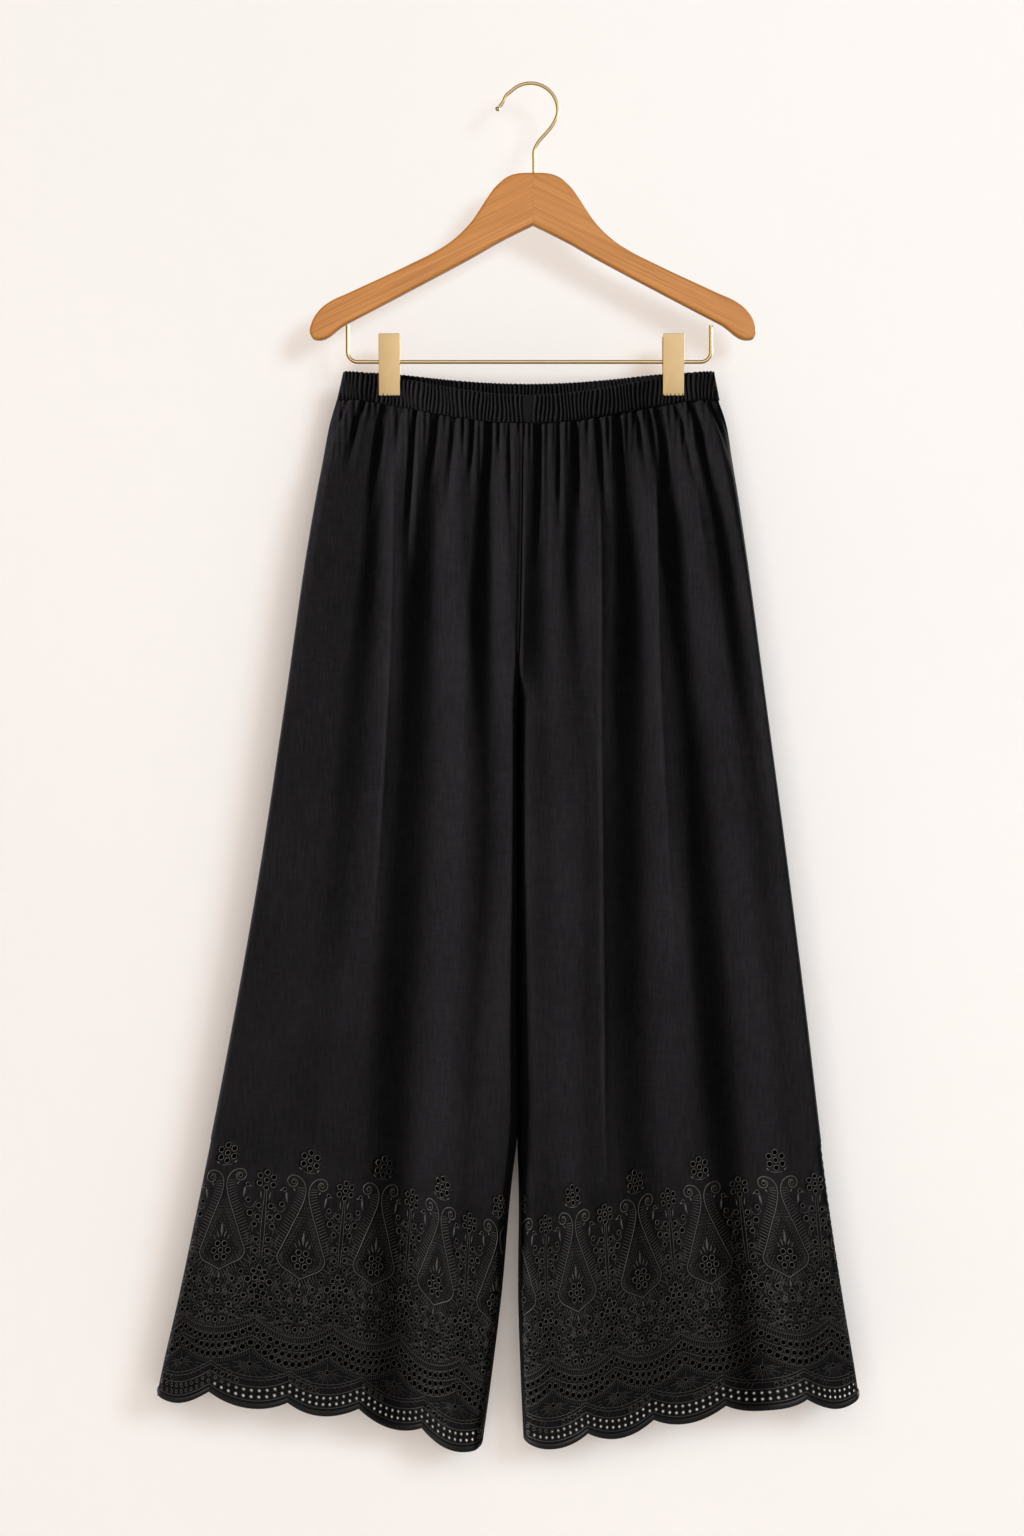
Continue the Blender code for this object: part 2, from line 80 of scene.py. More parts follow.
SECTIONS = table(
    "drop left_side left_inner right_inner right_side",
    (315, -193, -7.0, -7.0, 188), (335, -199, -7.5, -7.5, 195), (375, -207, -8.0, -8.0, 202),
    (455, -221, -9.0, -9.0, 214), (615, -244, -12.0, -12.0, 235), (775, -268, -12.8, -12.8, 256),
    (935, -296, -12.8, -12.8, 276), (1055, -319, -13.2, -12.8, 290), (1095, -327, -18.0, -11.5, 295),
    (1215, -352, -29.0, -11.8, 313), (1300, -371, -39.5, -9.0, 327), (1355, -380, -47.0, -6.5, 333),
)
BAND_DEPTHS = table(
    "away depth",
    (0, 14.0), (60, 11.0), (100, 5.5), (124, 0.8), (130, 0.0), (154, 0.0), (166, 2.0), (178, 1.8),
    (192, 0.0),
)
LEG_DEPTHS = table(
    "down depth",
    (0.0, 12.0), (0.12, 18.0), (0.3, 24.0), (0.6, 27.0), (1.0, 25.0),
)
BAND_HOLD = 0.12
ROUNDED_OUTER = 0.015
ROUNDED_INNER = {"left": 0.03, "right": 0.12}
FLARE = 5.0
FLARE_REACH = 0.13
FLARE_DOWN = (0.1, 0.5)
LOWEST = 1.05

# The hem's cusps, outer side to inner: how far across the leg each lies at the hem and at the top of
# the embroidery, how low it hangs, and how much higher the back's is
HEM = table(
    "cloth across left_top right_top left_drop right_drop left_rise right_rise",
    (0.0, 0.0, -0.15, -0.08, 1301.6, 1303.0, -9.0, 2.0),
    (0.2, 0.16, 0.07, 0.161, 1299.5, 1307.5, 2.0, 8.0),
    (0.4, 0.40, 0.342, 0.412, 1310.5, 1313.5, 9.0, 9.0),
    (0.6, 0.615, 0.58, 0.623, 1316.5, 1327.5, 9.0, 9.0),
    (0.8, 0.81, 0.778, 0.827, 1338.0, 1341.0, 8.5, 8.0),
    (1.0, 1.0, 0.97, 1.0, 1355.0, 1352.5, 5.0, 4.0),
)

# Gathers under the band: places across the leg where each starts and ends, and its depth, width and reach
GATHER = "waist foot depth width reach"
GATHERS = {
    ("left", "front"): table(
        GATHER,
        (0.045, 0.05, 1.6, 6.0, 0.05), (0.139, 0.115, 3.6, 10.0, 0.09),
        (0.258, 0.262, 5.0, 12.0, 0.13), (0.350, 0.350, 3.2, 10.0, 0.07),
        (0.428, 0.475, 5.6, 9.0, 0.19), (0.545, 0.530, 4.4, 10.0, 0.09),
        (0.640, 0.625, 4.6, 9.0, 0.11), (0.690, 0.700, 1.6, 5.0, 0.04), (0.743, 0.730, 4.2, 7.0, 0.08),
        (0.822, 0.812, 5.0, 9.0, 0.10), (0.875, 0.880, 2.0, 6.0, 0.05), (0.925, 0.945, 2.8, 7.0, 0.12),
    ),
    ("right", "front"): table(
        GATHER,
        (0.055, 0.045, 1.8, 6.0, 0.05), (0.155, 0.135, 5.0, 12.0, 0.12),
        (0.232, 0.200, 4.2, 10.0, 0.12), (0.325, 0.340, 5.6, 10.0, 0.10),
        (0.380, 0.370, 3.4, 7.0, 0.07), (0.445, 0.420, 4.0, 9.0, 0.09), (0.541, 0.548, 5.2, 9.0, 0.12),
        (0.590, 0.600, 1.6, 5.0, 0.04), (0.636, 0.630, 5.0, 9.0, 0.12), (0.690, 0.695, 2.0, 6.0, 0.05),
        (0.755, 0.745, 4.8, 9.0, 0.11), (0.831, 0.840, 5.2, 7.0, 0.13), (0.926, 0.940, 4.6, 8.0, 0.15),
    ),
    ("left", "back"): table(
        GATHER,
        (0.06, 0.05, 2.4, 8.0, 0.08), (0.13, 0.14, 4.6, 10.0, 0.12), (0.21, 0.19, 3.2, 9.0, 0.08),
        (0.30, 0.32, 5.4, 11.0, 0.13), (0.38, 0.36, 3.0, 8.0, 0.07), (0.46, 0.49, 5.0, 10.0, 0.11),
        (0.55, 0.54, 4.2, 9.0, 0.12), (0.63, 0.65, 5.2, 9.0, 0.09), (0.70, 0.71, 3.0, 7.0, 0.06),
        (0.77, 0.76, 4.8, 9.0, 0.13), (0.85, 0.87, 4.2, 8.0, 0.08), (0.93, 0.94, 3.6, 8.0, 0.11),
    ),
    ("right", "back"): table(
        GATHER,
        (0.05, 0.06, 2.6, 8.0, 0.09), (0.15, 0.13, 4.8, 11.0, 0.11), (0.24, 0.26, 3.6, 9.0, 0.07),
        (0.31, 0.30, 5.2, 10.0, 0.13), (0.40, 0.42, 4.0, 9.0, 0.08), (0.48, 0.46, 5.4, 10.0, 0.12),
        (0.56, 0.57, 2.8, 7.0, 0.06), (0.62, 0.61, 4.8, 9.0, 0.11), (0.71, 0.73, 4.4, 9.0, 0.09),
        (0.79, 0.78, 5.0, 9.0, 0.13), (0.87, 0.88, 3.2, 7.0, 0.06), (0.94, 0.95, 3.8, 8.0, 0.10),
    ),
}
GATHER_LIFT = 3.3
GATHER_START = 0.7
GATHER_FULL = 0.03
GATHER_EASE = 0.1
GATHER_END = 0.35
GATHER_SPREAD = 1.7
GATHER_POWER = 1.2
GATHER_ASIDE = 0.45
GATHER_FADE = 0.25

# Long folds: the middle of each one's steep side across the leg, and its depth, at these shares of the
# way down; then the width of that side. The cloth falls there and rises again more slowly beyond it.
LEVELS = np.array([0.0, 0.15, 0.45, 0.7, 1.0])
FOLD = "waist hip knee calf hem waist_depth hip_depth knee_depth calf_depth hem_depth width"
FOLDS = {
    ("left", "front"): table(
        FOLD,
        (0.262, 0.300, 0.310, 0.310, 0.300, 2.4, 6.5, 4.5, 1.0, 0.4, 34.0),
        (0.542, 0.531, 0.562, 0.576, 0.690, 2.4, 11.5, 14.5, 14.5, 11.0, 50.0),
        (0.815, 0.811, 0.845, 0.800, 0.800, 2.4, 9.5, 8.0, 3.0, 1.0, 34.0),
    ),
    ("right", "front"): table(
        FOLD,
        (0.149, 0.113, 0.112, 0.120, 0.120, 2.4, 6.5, 4.0, 1.0, 0.4, 26.0),
        (0.325, 0.352, 0.341, 0.331, 0.335, 2.4, 11.5, 14.5, 13.5, 11.0, 42.0),
        (0.541, 0.545, 0.602, 0.618, 0.600, 2.4, 11.0, 13.0, 10.0, 1.5, 42.0),
        (0.755, 0.790, 0.785, 0.780, 0.780, 2.5, 6.0, 1.0, 0.0, 0.0, 32.0),
        (0.930, 0.945, 0.955, 0.960, 0.960, 2.5, 6.0, 8.5, 8.0, 6.0, 36.0),
    ),
    ("left", "back"): table(
        FOLD,
        (0.240, 0.220, 0.230, 0.240, 0.250, 4.0, 7.5, 9.5, 8.0, 6.0, 40.0),
        (0.460, 0.450, 0.480, 0.500, 0.560, 4.0, 9.5, 12.0, 11.0, 9.0, 46.0),
        (0.700, 0.720, 0.750, 0.780, 0.800, 4.0, 8.5, 6.5, 2.5, 1.0, 38.0),
        (0.930, 0.945, 0.955, 0.960, 0.960, 2.0, 4.0, 4.5, 4.0, 4.0, 34.0),
    ),
    ("right", "back"): table(
        FOLD,
        (0.170, 0.200, 0.220, 0.240, 0.260, 4.0, 7.5, 6.5, 2.5, 1.0, 36.0),
        (0.400, 0.420, 0.440, 0.460, 0.480, 4.0, 9.5, 12.5, 11.0, 9.0, 46.0),
        (0.640, 0.630, 0.660, 0.680, 0.720, 4.0, 8.0, 10.5, 10.0, 8.0, 42.0),
        (0.830, 0.840, 0.850, 0.850, 0.860, 2.0, 5.0, 3.0, 1.0, 0.0, 30.0),
    ),
}
FOLD_NARROW = 0.42
FOLD_WIDE = 0.4
FOLD_RISE = 1.08
FOLD_OUTER = 0.05
FOLD_INNER = 0.03
FOLD_LIMIT = 0.75

# Pressed crests that catch the light: places across the leg at the same levels, where each starts and
# ends on the way down, and its height
CREST = "waist hip knee calf hem start end height"
CRESTS = {
    ("left", "front"): table(
        CREST,
        (0.330, 0.405, 0.460, 0.460, 0.460, 0.03, 0.55, 3.0),
        (0.520, 0.690, 0.730, 0.730, 0.730, 0.06, 0.24, 2.0),
    ),
    ("right", "front"): table(
        CREST,
        (0.860, 0.866, 0.866, 0.866, 0.866, 0.04, 0.24, 2.0),
        (0.630, 0.650, 0.688, 0.712, 0.720, 0.05, 0.80, 3.0),
        (0.350, 0.402, 0.440, 0.450, 0.450, 0.05, 0.58, 3.4),
        (0.200, 0.192, 0.192, 0.192, 0.192, 0.06, 0.24, 2.0),
    ),
    ("left", "back"): table(
        CREST,
        (0.370, 0.360, 0.385, 0.400, 0.420, 0.05, 0.55, 1.0),
        (0.640, 0.650, 0.680, 0.700, 0.700, 0.04, 0.30, 0.7),
    ),
    ("right", "back"): table(
        CREST,
        (0.500, 0.520, 0.540, 0.560, 0.580, 0.04, 0.50, 0.9),
        (0.730, 0.735, 0.760, 0.780, 0.800, 0.05, 0.60, 1.0),
    ),
}
CREST_NEAR = 1.3
CREST_FAR = 5.0
CREST_BEGIN = 0.08
CREST_FADE = 0.2

# Puckers just under the band's seam; each wave has a height, a length and a shift
PUCKER_PITCH = 6.4
PUCKER_HEIGHT = 1.75
PUCKER_REACH = 0.042
PUCKER_WAVES = ((0.9, 17.0, 0.0), (0.5, 6.1, 0.0))
PUCKER_MEAN = 1.2
PUCKER_ENDS = ((0.8, 11.0, 0.0),)

# The side seam shows on the front just below the band, then runs out to the edge
SEAM_IN = 15.0
SEAM_REACH = 0.085
SEAM_STEP = 1.8
SEAM_FADE = 2.0
SEAM_NEAR = 1.2
SEAM_FAR = 0.4

# The welt down the middle, its share where the other panel lies over it, and where it ends
CENTRE_SEAM = 0.9
CENTRE_WIDTH = 1.4
CENTRE_HOLD = 20
CENTRE_UNDER = 0.8
CENTRE_FADE = 60.0

# The cloth's shell: its rim where front and back meet, and its tuck under the band
SHELL_EDGE = 0.5
SHELL_MEET = 0.05
SHELL_CLOSE = (0.02, 0.12)
RIM_SHARE = 0.02
TUCK = 1.0
TUCK_REACH = 0.004
NUDGE = 0.2

# The border's chart: flat millimetres along the hem, and heights above the line through its cusps
FLAT_WIDTH = 400.0
PITCH = FLAT_WIDTH / SCALLOPS
FLOWER_HEIGHT = 240.0
BORDER = 250.0
LEG_SPAN = 325.0

# The net of each leg panel
PANEL_COLUMNS = 226
PANEL_ROWS = 64
ROWS_TO_TOP = 1.5
EDGE_STEPS = 241
FILL = 4.6
HOLE_SIDES = 8
FILL_CLEAR = 1.3
FILL_EDGE = 1.5
SIDE_CLEAR = 0.014

# Stitches and eyelets, in millimetres
THREAD_LIFT = 0.6
RING_LIFT = 0.75
RING_WIDTH = 0.85
RING_SIDES = 10
LEAF_LIFT = 0.8
LEAF_SWELL = 0.8
LEAF_TIP = 0.12
BAR_TAPER = 0.6
SUNK = 0.12
STITCH_CLEAR = 0.01
EYELET_GAP = 0.8
RING_CLEAR = 0.5
BARB_PITCH = 3.1
BARB_LENGTHS = (9.5, 7.0)
BARB_CLEAR = 1.5
BARB_RISE = 0.15
INNER_LENGTH = 5.5
FEATHER_PITCH = 2.0
FEATHER_SLANT = 48.0
HATCH_PITCH = 2.3
HATCH_LEAN = 0.3
SEED_PITCH = 3.2
SEED_LEVELS = (65.0, 152.0, 190.0)
SEED_INSIDE = 2.0
SEED_OUTSIDE = 8.0
SEED_LENGTH = 3.0
SEED_FLOWER = 141.0
SEED_ROOM = 12.5
EDGE_PITCH = 7.5
EDGE_ROWS = ((11.0, 1.28), (17.2, 1.2))
EDGE_THIRD = (24.2, 1.7, 0.42)
EDGE_LINES = (7.3, 20.8)
ECHO_LINES = (27.5, 30.5)
ECHO_CLEAR = 1.4
WIDTHS = {
    "edge": 1.0, "echo": 0.7, "garland": 0.75, "hatch": 0.7, "ray": 0.7, "arch": 0.8, "vase": 1.15,
    "scroll": 1.1, "hook": 0.9, "bar": 0.9, "barb": 0.75, "inner_barb": 0.6, "stem": 0.7, "curl": 0.75,
    "seed": 0.6, "feather": 0.7, "feather_barb": 0.6, "loop": 0.8,
}

# Garlands of eyelets and of thread: heights at the cusps and between them, and for the eyelets their
# radius, their spacing and how much of the way between two cusps they fill
GARLANDS = table(
    "low high size pitch reach",
    (37.0, 53.5, 2.7, 7.2, 1.0), (45.2, 61.0, 2.5, 7.0, 0.6), (53.7, 67.5, 2.4, 6.7, 1.0),
)
GARLAND_LINES = ((32.8, 47.6), (41.0, 56.6), (49.3, 59.6), (57.4, 71.0), (63.2, 76.8))
GARLAND_CURVE = 2.0
OVERRUN = 8.0
HATCHES = table(
    "low high length",
    (28.6, 43.4, 3.6), (41.6, 57.2, 2.4), (46.0, 60.8, 2.8), (58.0, 71.6, 4.6), (63.8, 77.4, 3.4),
)

# The fans over the middles of the scallops: rays by shift, near and far end and count, and an arch
FAN_HEIGHT = 31.5
FAN_EYELET = 2.0
FAN_SQUASH = 0.8
FAN_ARCH = 19.5
FAN_OVER = 22.0
FAN_UNDER = 0.8
FAN_RAYS = table(
    "shift near far count",
    (0.0, 3.8, 12.0, 15), (0.5, 8.0, 18.0, 15), (0.0, 21.0, 27.5, 36), (0.5, 28.5, 35.0, 46),
)

# The palmettes over the cusps and the stalks between them, each half given once, from its axis outward
VASE_OUTLINE = (
    (0.0, 120.5), (10.5, 126.0), (21.5, 132.5), (24.3, 138.0), (20.4, 150.5), (15.6, 163.0), (10.4, 176.5),
    (5.8, 188.0), (2.5, 199.0), (1.7, 206.0), (2.8, 212.0), (6.0, 216.8), (10.0, 219.4), (14.5, 220.2),
)
VASE_STEPS = 56
VASE_NECK = 210.0
VASE_SHOULDER = 180.0
SCROLL = (14.8, 213.6, 6.6, 2.7)
PALMETTE_FLOWERS = table("height spread radius tilt", (236.5, 7.7, 2.4, 90.0), (139.5, 7.7, 2.4, 60.0))
PALMETTE_EYELETS = (
    (14.8, 213.6, 1.4), (22.5, 205.0, 1.5), (24.0, 190.0, 1.9), (26.5, 177.5, 2.5), (31.5, 167.0, 2.1),
)
PALMETTE_HOOK = ((20.5, 187.5), (22.5, 183.5), (27.0, 182.5), (30.0, 186.0))
PALMETTE_LEAVES = table(
    "x y turn length width bend",
    (2.6, 151.5, 18, 9.0, 1.5, 0), (5.5, 150.0, 34, 7.0, 1.0, 0), (20.3, 203.5, 180, 12.0, 2.6, -8),
    (12.0, 204.5, 35, 4.2, 1.9, 0), (27.0, 203.0, -60, 4.2, 1.9, 0), (7.5, 226.0, 50, 4.5, 1.8, 0),
)
PALMETTE_BARS = ((226.6, 6.5), (224.2, 6.0))
PALMETTE_SPIKES = ((153.0, 15.0, 3.0), (137.5, 4.0, 2.2))
STALK_STEM = ((1.0, 201.0), (2.0, 165.0), (1.0, 128.0))
STALK_SIDES = (-0.9, 0.9)
STALK_PAIRS = (186.0, 133.0, -11.0)
STALK_PAIR_EYELET = (5.7, 0.6, 2.1)
STALK_FLOWERS = table(
    "height spread radius petals tilt fine",
    (211.0, 7.4, 2.15, 6, 90.0, False), (120.0, 5.6, 2.2, 5, 90.0, False),
    (103.0, 5.8, 2.3, 5, -90.0, True), (86.5, 5.2, 2.2, 4, 45.0, True),
)

# The ground's small work round each palmette: eyelets, feathers, loops and curls
GROUND_FINE = 2.0
GROUND_EYELETS = (
    (0.0, 107.5, 2.1), (0.0, 100.0, 2.1), (0.0, 88.5, 1.8), (14.0, 112.0, 2.0), (22.5, 119.5, 1.9),
    (29.5, 113.0, 2.6), (8.0, 93.5, 1.9), (14.5, 99.5, 1.8), (21.5, 105.0, 2.0), (27.0, 97.0, 2.1),
    (34.0, 103.5, 1.7), (5.0, 81.5, 1.9), (13.0, 86.5, 2.1), (20.5, 91.0, 1.7), (32.5, 88.5, 2.0),
    (18.5, 79.5, 1.9), (0.0, 70.8, 2.2), (8.2, 72.0, 2.0), (16.0, 73.8, 1.8), (26.5, 83.5, 1.7),
    (36.5, 80.5, 1.9), (33.5, 133.0, 1.8), (33.5, 122.0, 1.7), (30.5, 143.0, 1.7), (33.0, 153.5, 1.8),
)
FEATHERS = table(
    "x y angle length bend barb",
    (2.5, 113.0, 68, 13, -35, 2.4), (3.0, 96.0, 50, 14, 40, 2.6), (14.0, 104.5, 85, 12, -40, 2.4),
    (20.0, 111.5, 35, 12, 45, 2.4), (26.0, 103.0, 15, 13, -30, 2.4), (33.0, 95.0, -5, 13, 30, 2.2),
    (8.0, 87.0, 55, 12, 35, 2.4), (15.0, 92.0, 20, 11, 45, 2.2), (24.0, 88.0, 60, 12, -40, 2.2),
    (30.0, 108.0, 10, 11, 30, 2.2), (2.0, 77.5, 62, 13, 25, 2.4), (13.0, 76.0, 78, 12, 20, 2.2),
    (28.0, 76.5, 60, 12, 20, 2.2), (31.0, 126.0, 5, 12, -25, 1.9), (26.5, 147.0, 12, 13, -25, 1.9),
    (3.5, 66.5, 40, 9, -30, 2.0), (12.0, 68.5, 55, 9, 25, 2.0), (20.5, 72.5, 65, 8, 15, 1.9),
    (27.0, 161.0, 5, 13, 25, 1.8), (36.0, 76.0, 0, 10, 30, 1.9), (7.0, 104.0, 20, 9, 40, 1.9),
)
LOOPS = (
    (9.0, 108.0, 30, 8.5, 4.2), (24.0, 109.0, -20, 9.5, 4.6), (18.0, 96.0, 15, 8.5, 4.0),
    (30.5, 101.0, 35, 8.5, 4.2), (9.5, 98.0, -30, 8.0, 3.8), (36.0, 88.0, 0, 9.0, 4.2),
    (16.5, 83.0, -25, 7.5, 3.6), (28.5, 89.5, 20, 8.0, 3.8),
)
CURLS = ((7.5, 99.5, 3.2), (36.5, 113.0, 3.4), (9.5, 114.0, 2.8), (22.5, 84.0, 2.8), (10.0, 80.0, 2.6))

# The padded satin edge
SATIN_STEPS = 401
SATIN_SIDES = 8
SATIN_WIDTH = 5.8
SATIN_OVER = 0.7
SATIN_THICK = 2.4
SATIN_RIB = 0.16
SATIN_CLEAR = 0.004

# Waistband
RIB_PITCH = 3.95
RIB_OUT = 2.5
RIB_POWER = 0.7
RIB_WAVES = ((0.55, 7.3, 0.0), (0.35, 3.1, 1.0))
RIB_WANDER = 0.35
RIB_SHIFT = 0.4
PATCH_RIB = 0.55
PATCH_SOFT = 1.5
BAND_SKEW = 0.9
SKEW_WAVE = (9.0, 7.0)
BAND_COLUMNS = 560
BAND_LINING = 0.15
BAND_END = 3.0
BAND_INSIDE = 13
BAND_END_OUT = 0.25
TOP_WAVE = 1.2
TOP_WAVE_FROM = 0.6

# Hanger, repeated from the solids
WOOD_THICK = 12.0
WOOD_ROUND = 3.0
HANGER_MIDDLE = 3.0
HOOK_WIRE = 3.5
HOOK_CENTRE = (0.5, -25.5)
HOOK_RADIUS = 27.25
HOOK_ARC = (-5.0, 135.0)
HOOK_STEM = (
    (4.0, -87.9), (4.0, -76.0), (4.2, -66.0), (8.5, -57.0), (15.5, -49.0), (22.0, -41.0), (26.4, -32.5),
)
HOOK_FLARE = ((-23.6, -10.4), (-27.0, -17.2), (-30.2, -21.8))
BALL_RADIUS = 2.4
BALL_PLACE = (-32.4, -23.9)
BAR_WIRE = 3.8
BAR_DROP = 277.0
BAR_END_DROP = 240.4
BAR_BEND = 10.0
BAR_ENDS = (-182.4, 180.8)
CLIP_MIDDLES = {"left": -140.3, "right": 143.2}
CLIP_WIDTH = 21.3
CLIP_LENGTH = 61.5
CLIP_PLATE = 1.2
CLIP_CORNER = 1.1
CLIP_EDGE = 0.35
CLIP_BOTTOM_DROP = 311.2
CLIP_JAW = 3.5
CLIP_MOUTH = 9.2
SPRING_LENGTH = 13.0
SPRING_OUTER = 6.0
SPRING_WIRE = 1.3
COIL_GAP = 0.15
COIL_STEPS = 22
ARM_JOIN = 4
ARM_OUTLINE = (
    (ARM_JOIN, -88.3), (-22, -91), (-36, -101), (-46, -114), (-53, -125), (-63, -139), (-78, -154),
    (-93, -164.5), (-123, -180), (-183, -208), (-204, -218), (-214.5, -227), (-221.4, -239),
    (-222.6, -249), (-217.5, -255), (-186, -239), (-123, -206), (-63, -174), (-33, -157), (ARM_JOIN, -138.5),
)
ARM_SLOPE = 26.0
ARM_GAP = 0.05
LEG_PARTS = ("hip", "thigh", "border")
SHARP = math.radians(35)

# Colours and light
CLOTH_TONES = ((0.0043, 0.0041, 0.0045), (0.0079, 0.0075, 0.0084), (0.0111, 0.0107, 0.0111))
# Painted shade: the cloth's wrong side is a darker copy of the cloth
WRONG_SIDE_SHADE = 0.25
# Painted shade: the waistband's inside is a darker copy of the cloth
BAND_INSIDE_SHADE = 0.75
# Painted shade low in the border, among the stitches: how far it darkens the cloth, and the heights in metres
# where it comes in
BORDER_SHADE = 0.6
BORDER_SHADE_FADE = (-1.09, -1.19)
CLOTH_SPECULAR = 0.04
WOOD_SPECULAR = 0.32
# Painted light on the thread: its colours are paler than the cloth's as painted sheen, and the fine stitches'
# colours are dimmer than the raised stitches' as painted shade
THREAD = ((0.030, 0.0285, 0.0243), (0.058, 0.054, 0.045))
FINE_THREAD = ((0.0140, 0.0138, 0.0114), (0.0310, 0.0302, 0.0245))
SATIN_THREAD = ((0.0045, 0.0042, 0.0043), (0.0105, 0.0099, 0.0098))
THREAD_SPECULAR = 0.25
SATIN_SPECULAR = 0.12
# The darkest wood colour, reached in the painted shade on the rounded edges
WOOD_EDGE_SHADE = (0.14, 0.045, 0.007)
WOOD_DARK = (0.35, 0.125, 0.015)
WOOD_MIDDLE = (0.465, 0.174, 0.025)
WOOD_LIGHT = (0.555, 0.231, 0.042)
WIRE_BRASS = (0.42, 0.305, 0.15)
PLATE_BRASS = (0.39, 0.285, 0.15)
WALL_LOW = (0.86, 0.83, 0.80)
WALL_HIGH = (0.88, 0.85, 0.82)
FLOOR_LOW = (0.56, 0.53, 0.50)
FLOOR_HIGH = (0.60, 0.57, 0.54)
WORLD_COLOUR = (1.0, 0.90, 0.80)
WORLD_STRENGTH = 0.16
KEY_POWER = 142.0
KEY_COLOUR = (0.61, 0.78, 0.92)
FILL_POWER = 288.0
FILL_COLOUR = (0.985, 0.905, 0.86)
CLOTH_POWER = 585.0
CLOTH_LIGHT = (1.0, 0.97, 0.97)
CLOTH_FILL_POWER = 3.0
BACK_POWER = 250.0
BACK_FILL_POWER = 60.0

# Camera and room, in metres
CAMERA_PLACE = (-0.018, -2.5, -0.683)
LENS = 58.6
ROOM_SIZE = 7.0
LAMP_TARGET = (0.0, 0.0, -0.7)
WALL_PLACE = 0.045
FLOOR_LEVEL = -1.75


def column(rows, name):
    """One named column of a table, as an array."""
    return np.array([getattr(row, name) for row in rows], float)


def follow(xs, ys, x):
    """A smooth curve through a table's points, read at each x."""
    x = np.clip(x, xs[0], xs[-1])
    slopes = np.gradient(ys, xs)
    i = np.clip(np.searchsorted(xs, x) - 1, 0, len(xs) - 2)
    span = xs[i + 1] - xs[i]
    t = (x - xs[i]) / span
    ease = t * t * (3 - 2 * t)
    start = slopes[i] * span * (t - 2 * t**2 + t**3)
    end = slopes[i + 1] * span * (t**3 - t**2)
    return ys[i] + (ys[i + 1] - ys[i]) * ease + start + end


def blend(low, high, x):
    """0 below low, 1 above high, and a soft step between."""
    t = np.clip((x - low) / (high - low), 0.0, 1.0)
    return t * t * (3 - 2 * t)


def quarter(share):
    """Height of a quarter circle, 0 at its edge and 1 at its top."""
    return np.sqrt(1 - (1 - np.clip(share, 0.0, 1.0)) ** 2)


def waves(x, rows):
    """The sum of a few sine waves; each row has a height, a length and a shift."""
    return sum(height * np.sin(x / length + shift) for height, length, shift in rows)


DROPS = column(SECTIONS, "drop")
EDGES = {name: column(SECTIONS, name) for name in SECTIONS[0]._fields[1:]}
AWAYS = column(BAND_DEPTHS, "away")
BAND_OUT = column(BAND_DEPTHS, "depth")
DOWNS = column(LEG_DEPTHS, "down")
LEG_OUT = column(LEG_DEPTHS, "depth")
HEM_CLOTH = column(HEM, "cloth")
HEM_ACROSS = column(HEM, "across")


def sag(x, face):
    """How far the waistband dips between the clips."""
    return SAG[face] * np.maximum(0.0, 1 - ((x - BAND_MIDDLE) / SAG_HALF) ** 2) ** 2


def band_depth(x):
    """How far the waistband stands out from the middle."""
    return np.maximum(0.0, follow(AWAYS, BAND_OUT, np.abs(x - BAND_MIDDLE)))


def leg_edges(side, drop):
    """The leg's outer side and inner edge at a drop, half a seam gap clear of the other leg."""
    outer = follow(DROPS, EDGES[side + "_side"], drop)
    inner = follow(DROPS, EDGES[side + "_inner"], drop)
    return outer, inner + LEG_GAP / 2 * (-1 if side == "left" else 1)


def path_of(row, down):
    """Where a fold or crest lies across the leg on the way down."""
    return follow(LEVELS, np.array(row[:5]), down)


def rightward(side, face):
    """1 where shares across the leg grow toward the right of a person who looks at this face."""
    return 1 if (side == "left") == (face == "front") else -1


def gather_depth(side, face, across, down, width):
    """How deep the gathers below the band are."""
    depth = np.zeros_like(across)
    for row in GATHERS[side, face]:
        way = np.clip(down / row.reach, 0.0, 1.0)
        past = (across - row.waist - (row.foot - row.waist) * way) * width * rightward(side, face)
        half = row.width / 2 * (1 + (GATHER_SPREAD - 1) * way)
        shape = np.maximum(0.0, 1 - np.abs(past / half - GATHER_ASIDE)) ** GATHER_POWER
        depth = np.maximum(depth, row.depth * shape * (1 - blend(GATHER_FADE, 1.0, way)))
    return depth


def gather_lift(down):
    """How far the gathered cloth stands out below the band."""
    grown = GATHER_START + (1 - GATHER_START) * blend(0.0, GATHER_FULL, down)
    return GATHER_LIFT * grown * (1 - blend(GATHER_EASE, GATHER_END, down))


def fold_depth(side, face, across, down, width):
    """How deep the long folds are."""
    depth = np.zeros_like(across)
    slim = FOLD_NARROW + (1 - FOLD_NARROW) * blend(0.0, FOLD_WIDE, down)
    for row in FOLDS[side, face]:
        fall = row.width * slim
        past = (across - path_of(row, down)) * width * rightward(side, face) - fall / 2
        shape = np.where(past < 0, blend(-1.0, 0.0, past / fall), 1 - blend(0.0, FOLD_RISE, past / fall))
        depth += shape * follow(LEVELS, np.array(row[5:10]), down)
    return depth * blend(0.0, FOLD_OUTER, across) * blend(0.0, FOLD_INNER, 1 - across)


def crest_height(side, face, across, down, width):
    """How high the pressed crests stand."""
    height = np.zeros_like(across)
    for row in CRESTS[side, face]:
        begun = blend(row.start, row.start + CREST_BEGIN, down)
        ended = blend(row.end - CREST_FADE, row.end, down)
        past = (across - path_of(row, down)) * width * rightward(side, face)
        height += row.height * begun * (1 - ended) * np.exp(-np.maximum(-past / CREST_NEAR, past / CREST_FAR))
    return height


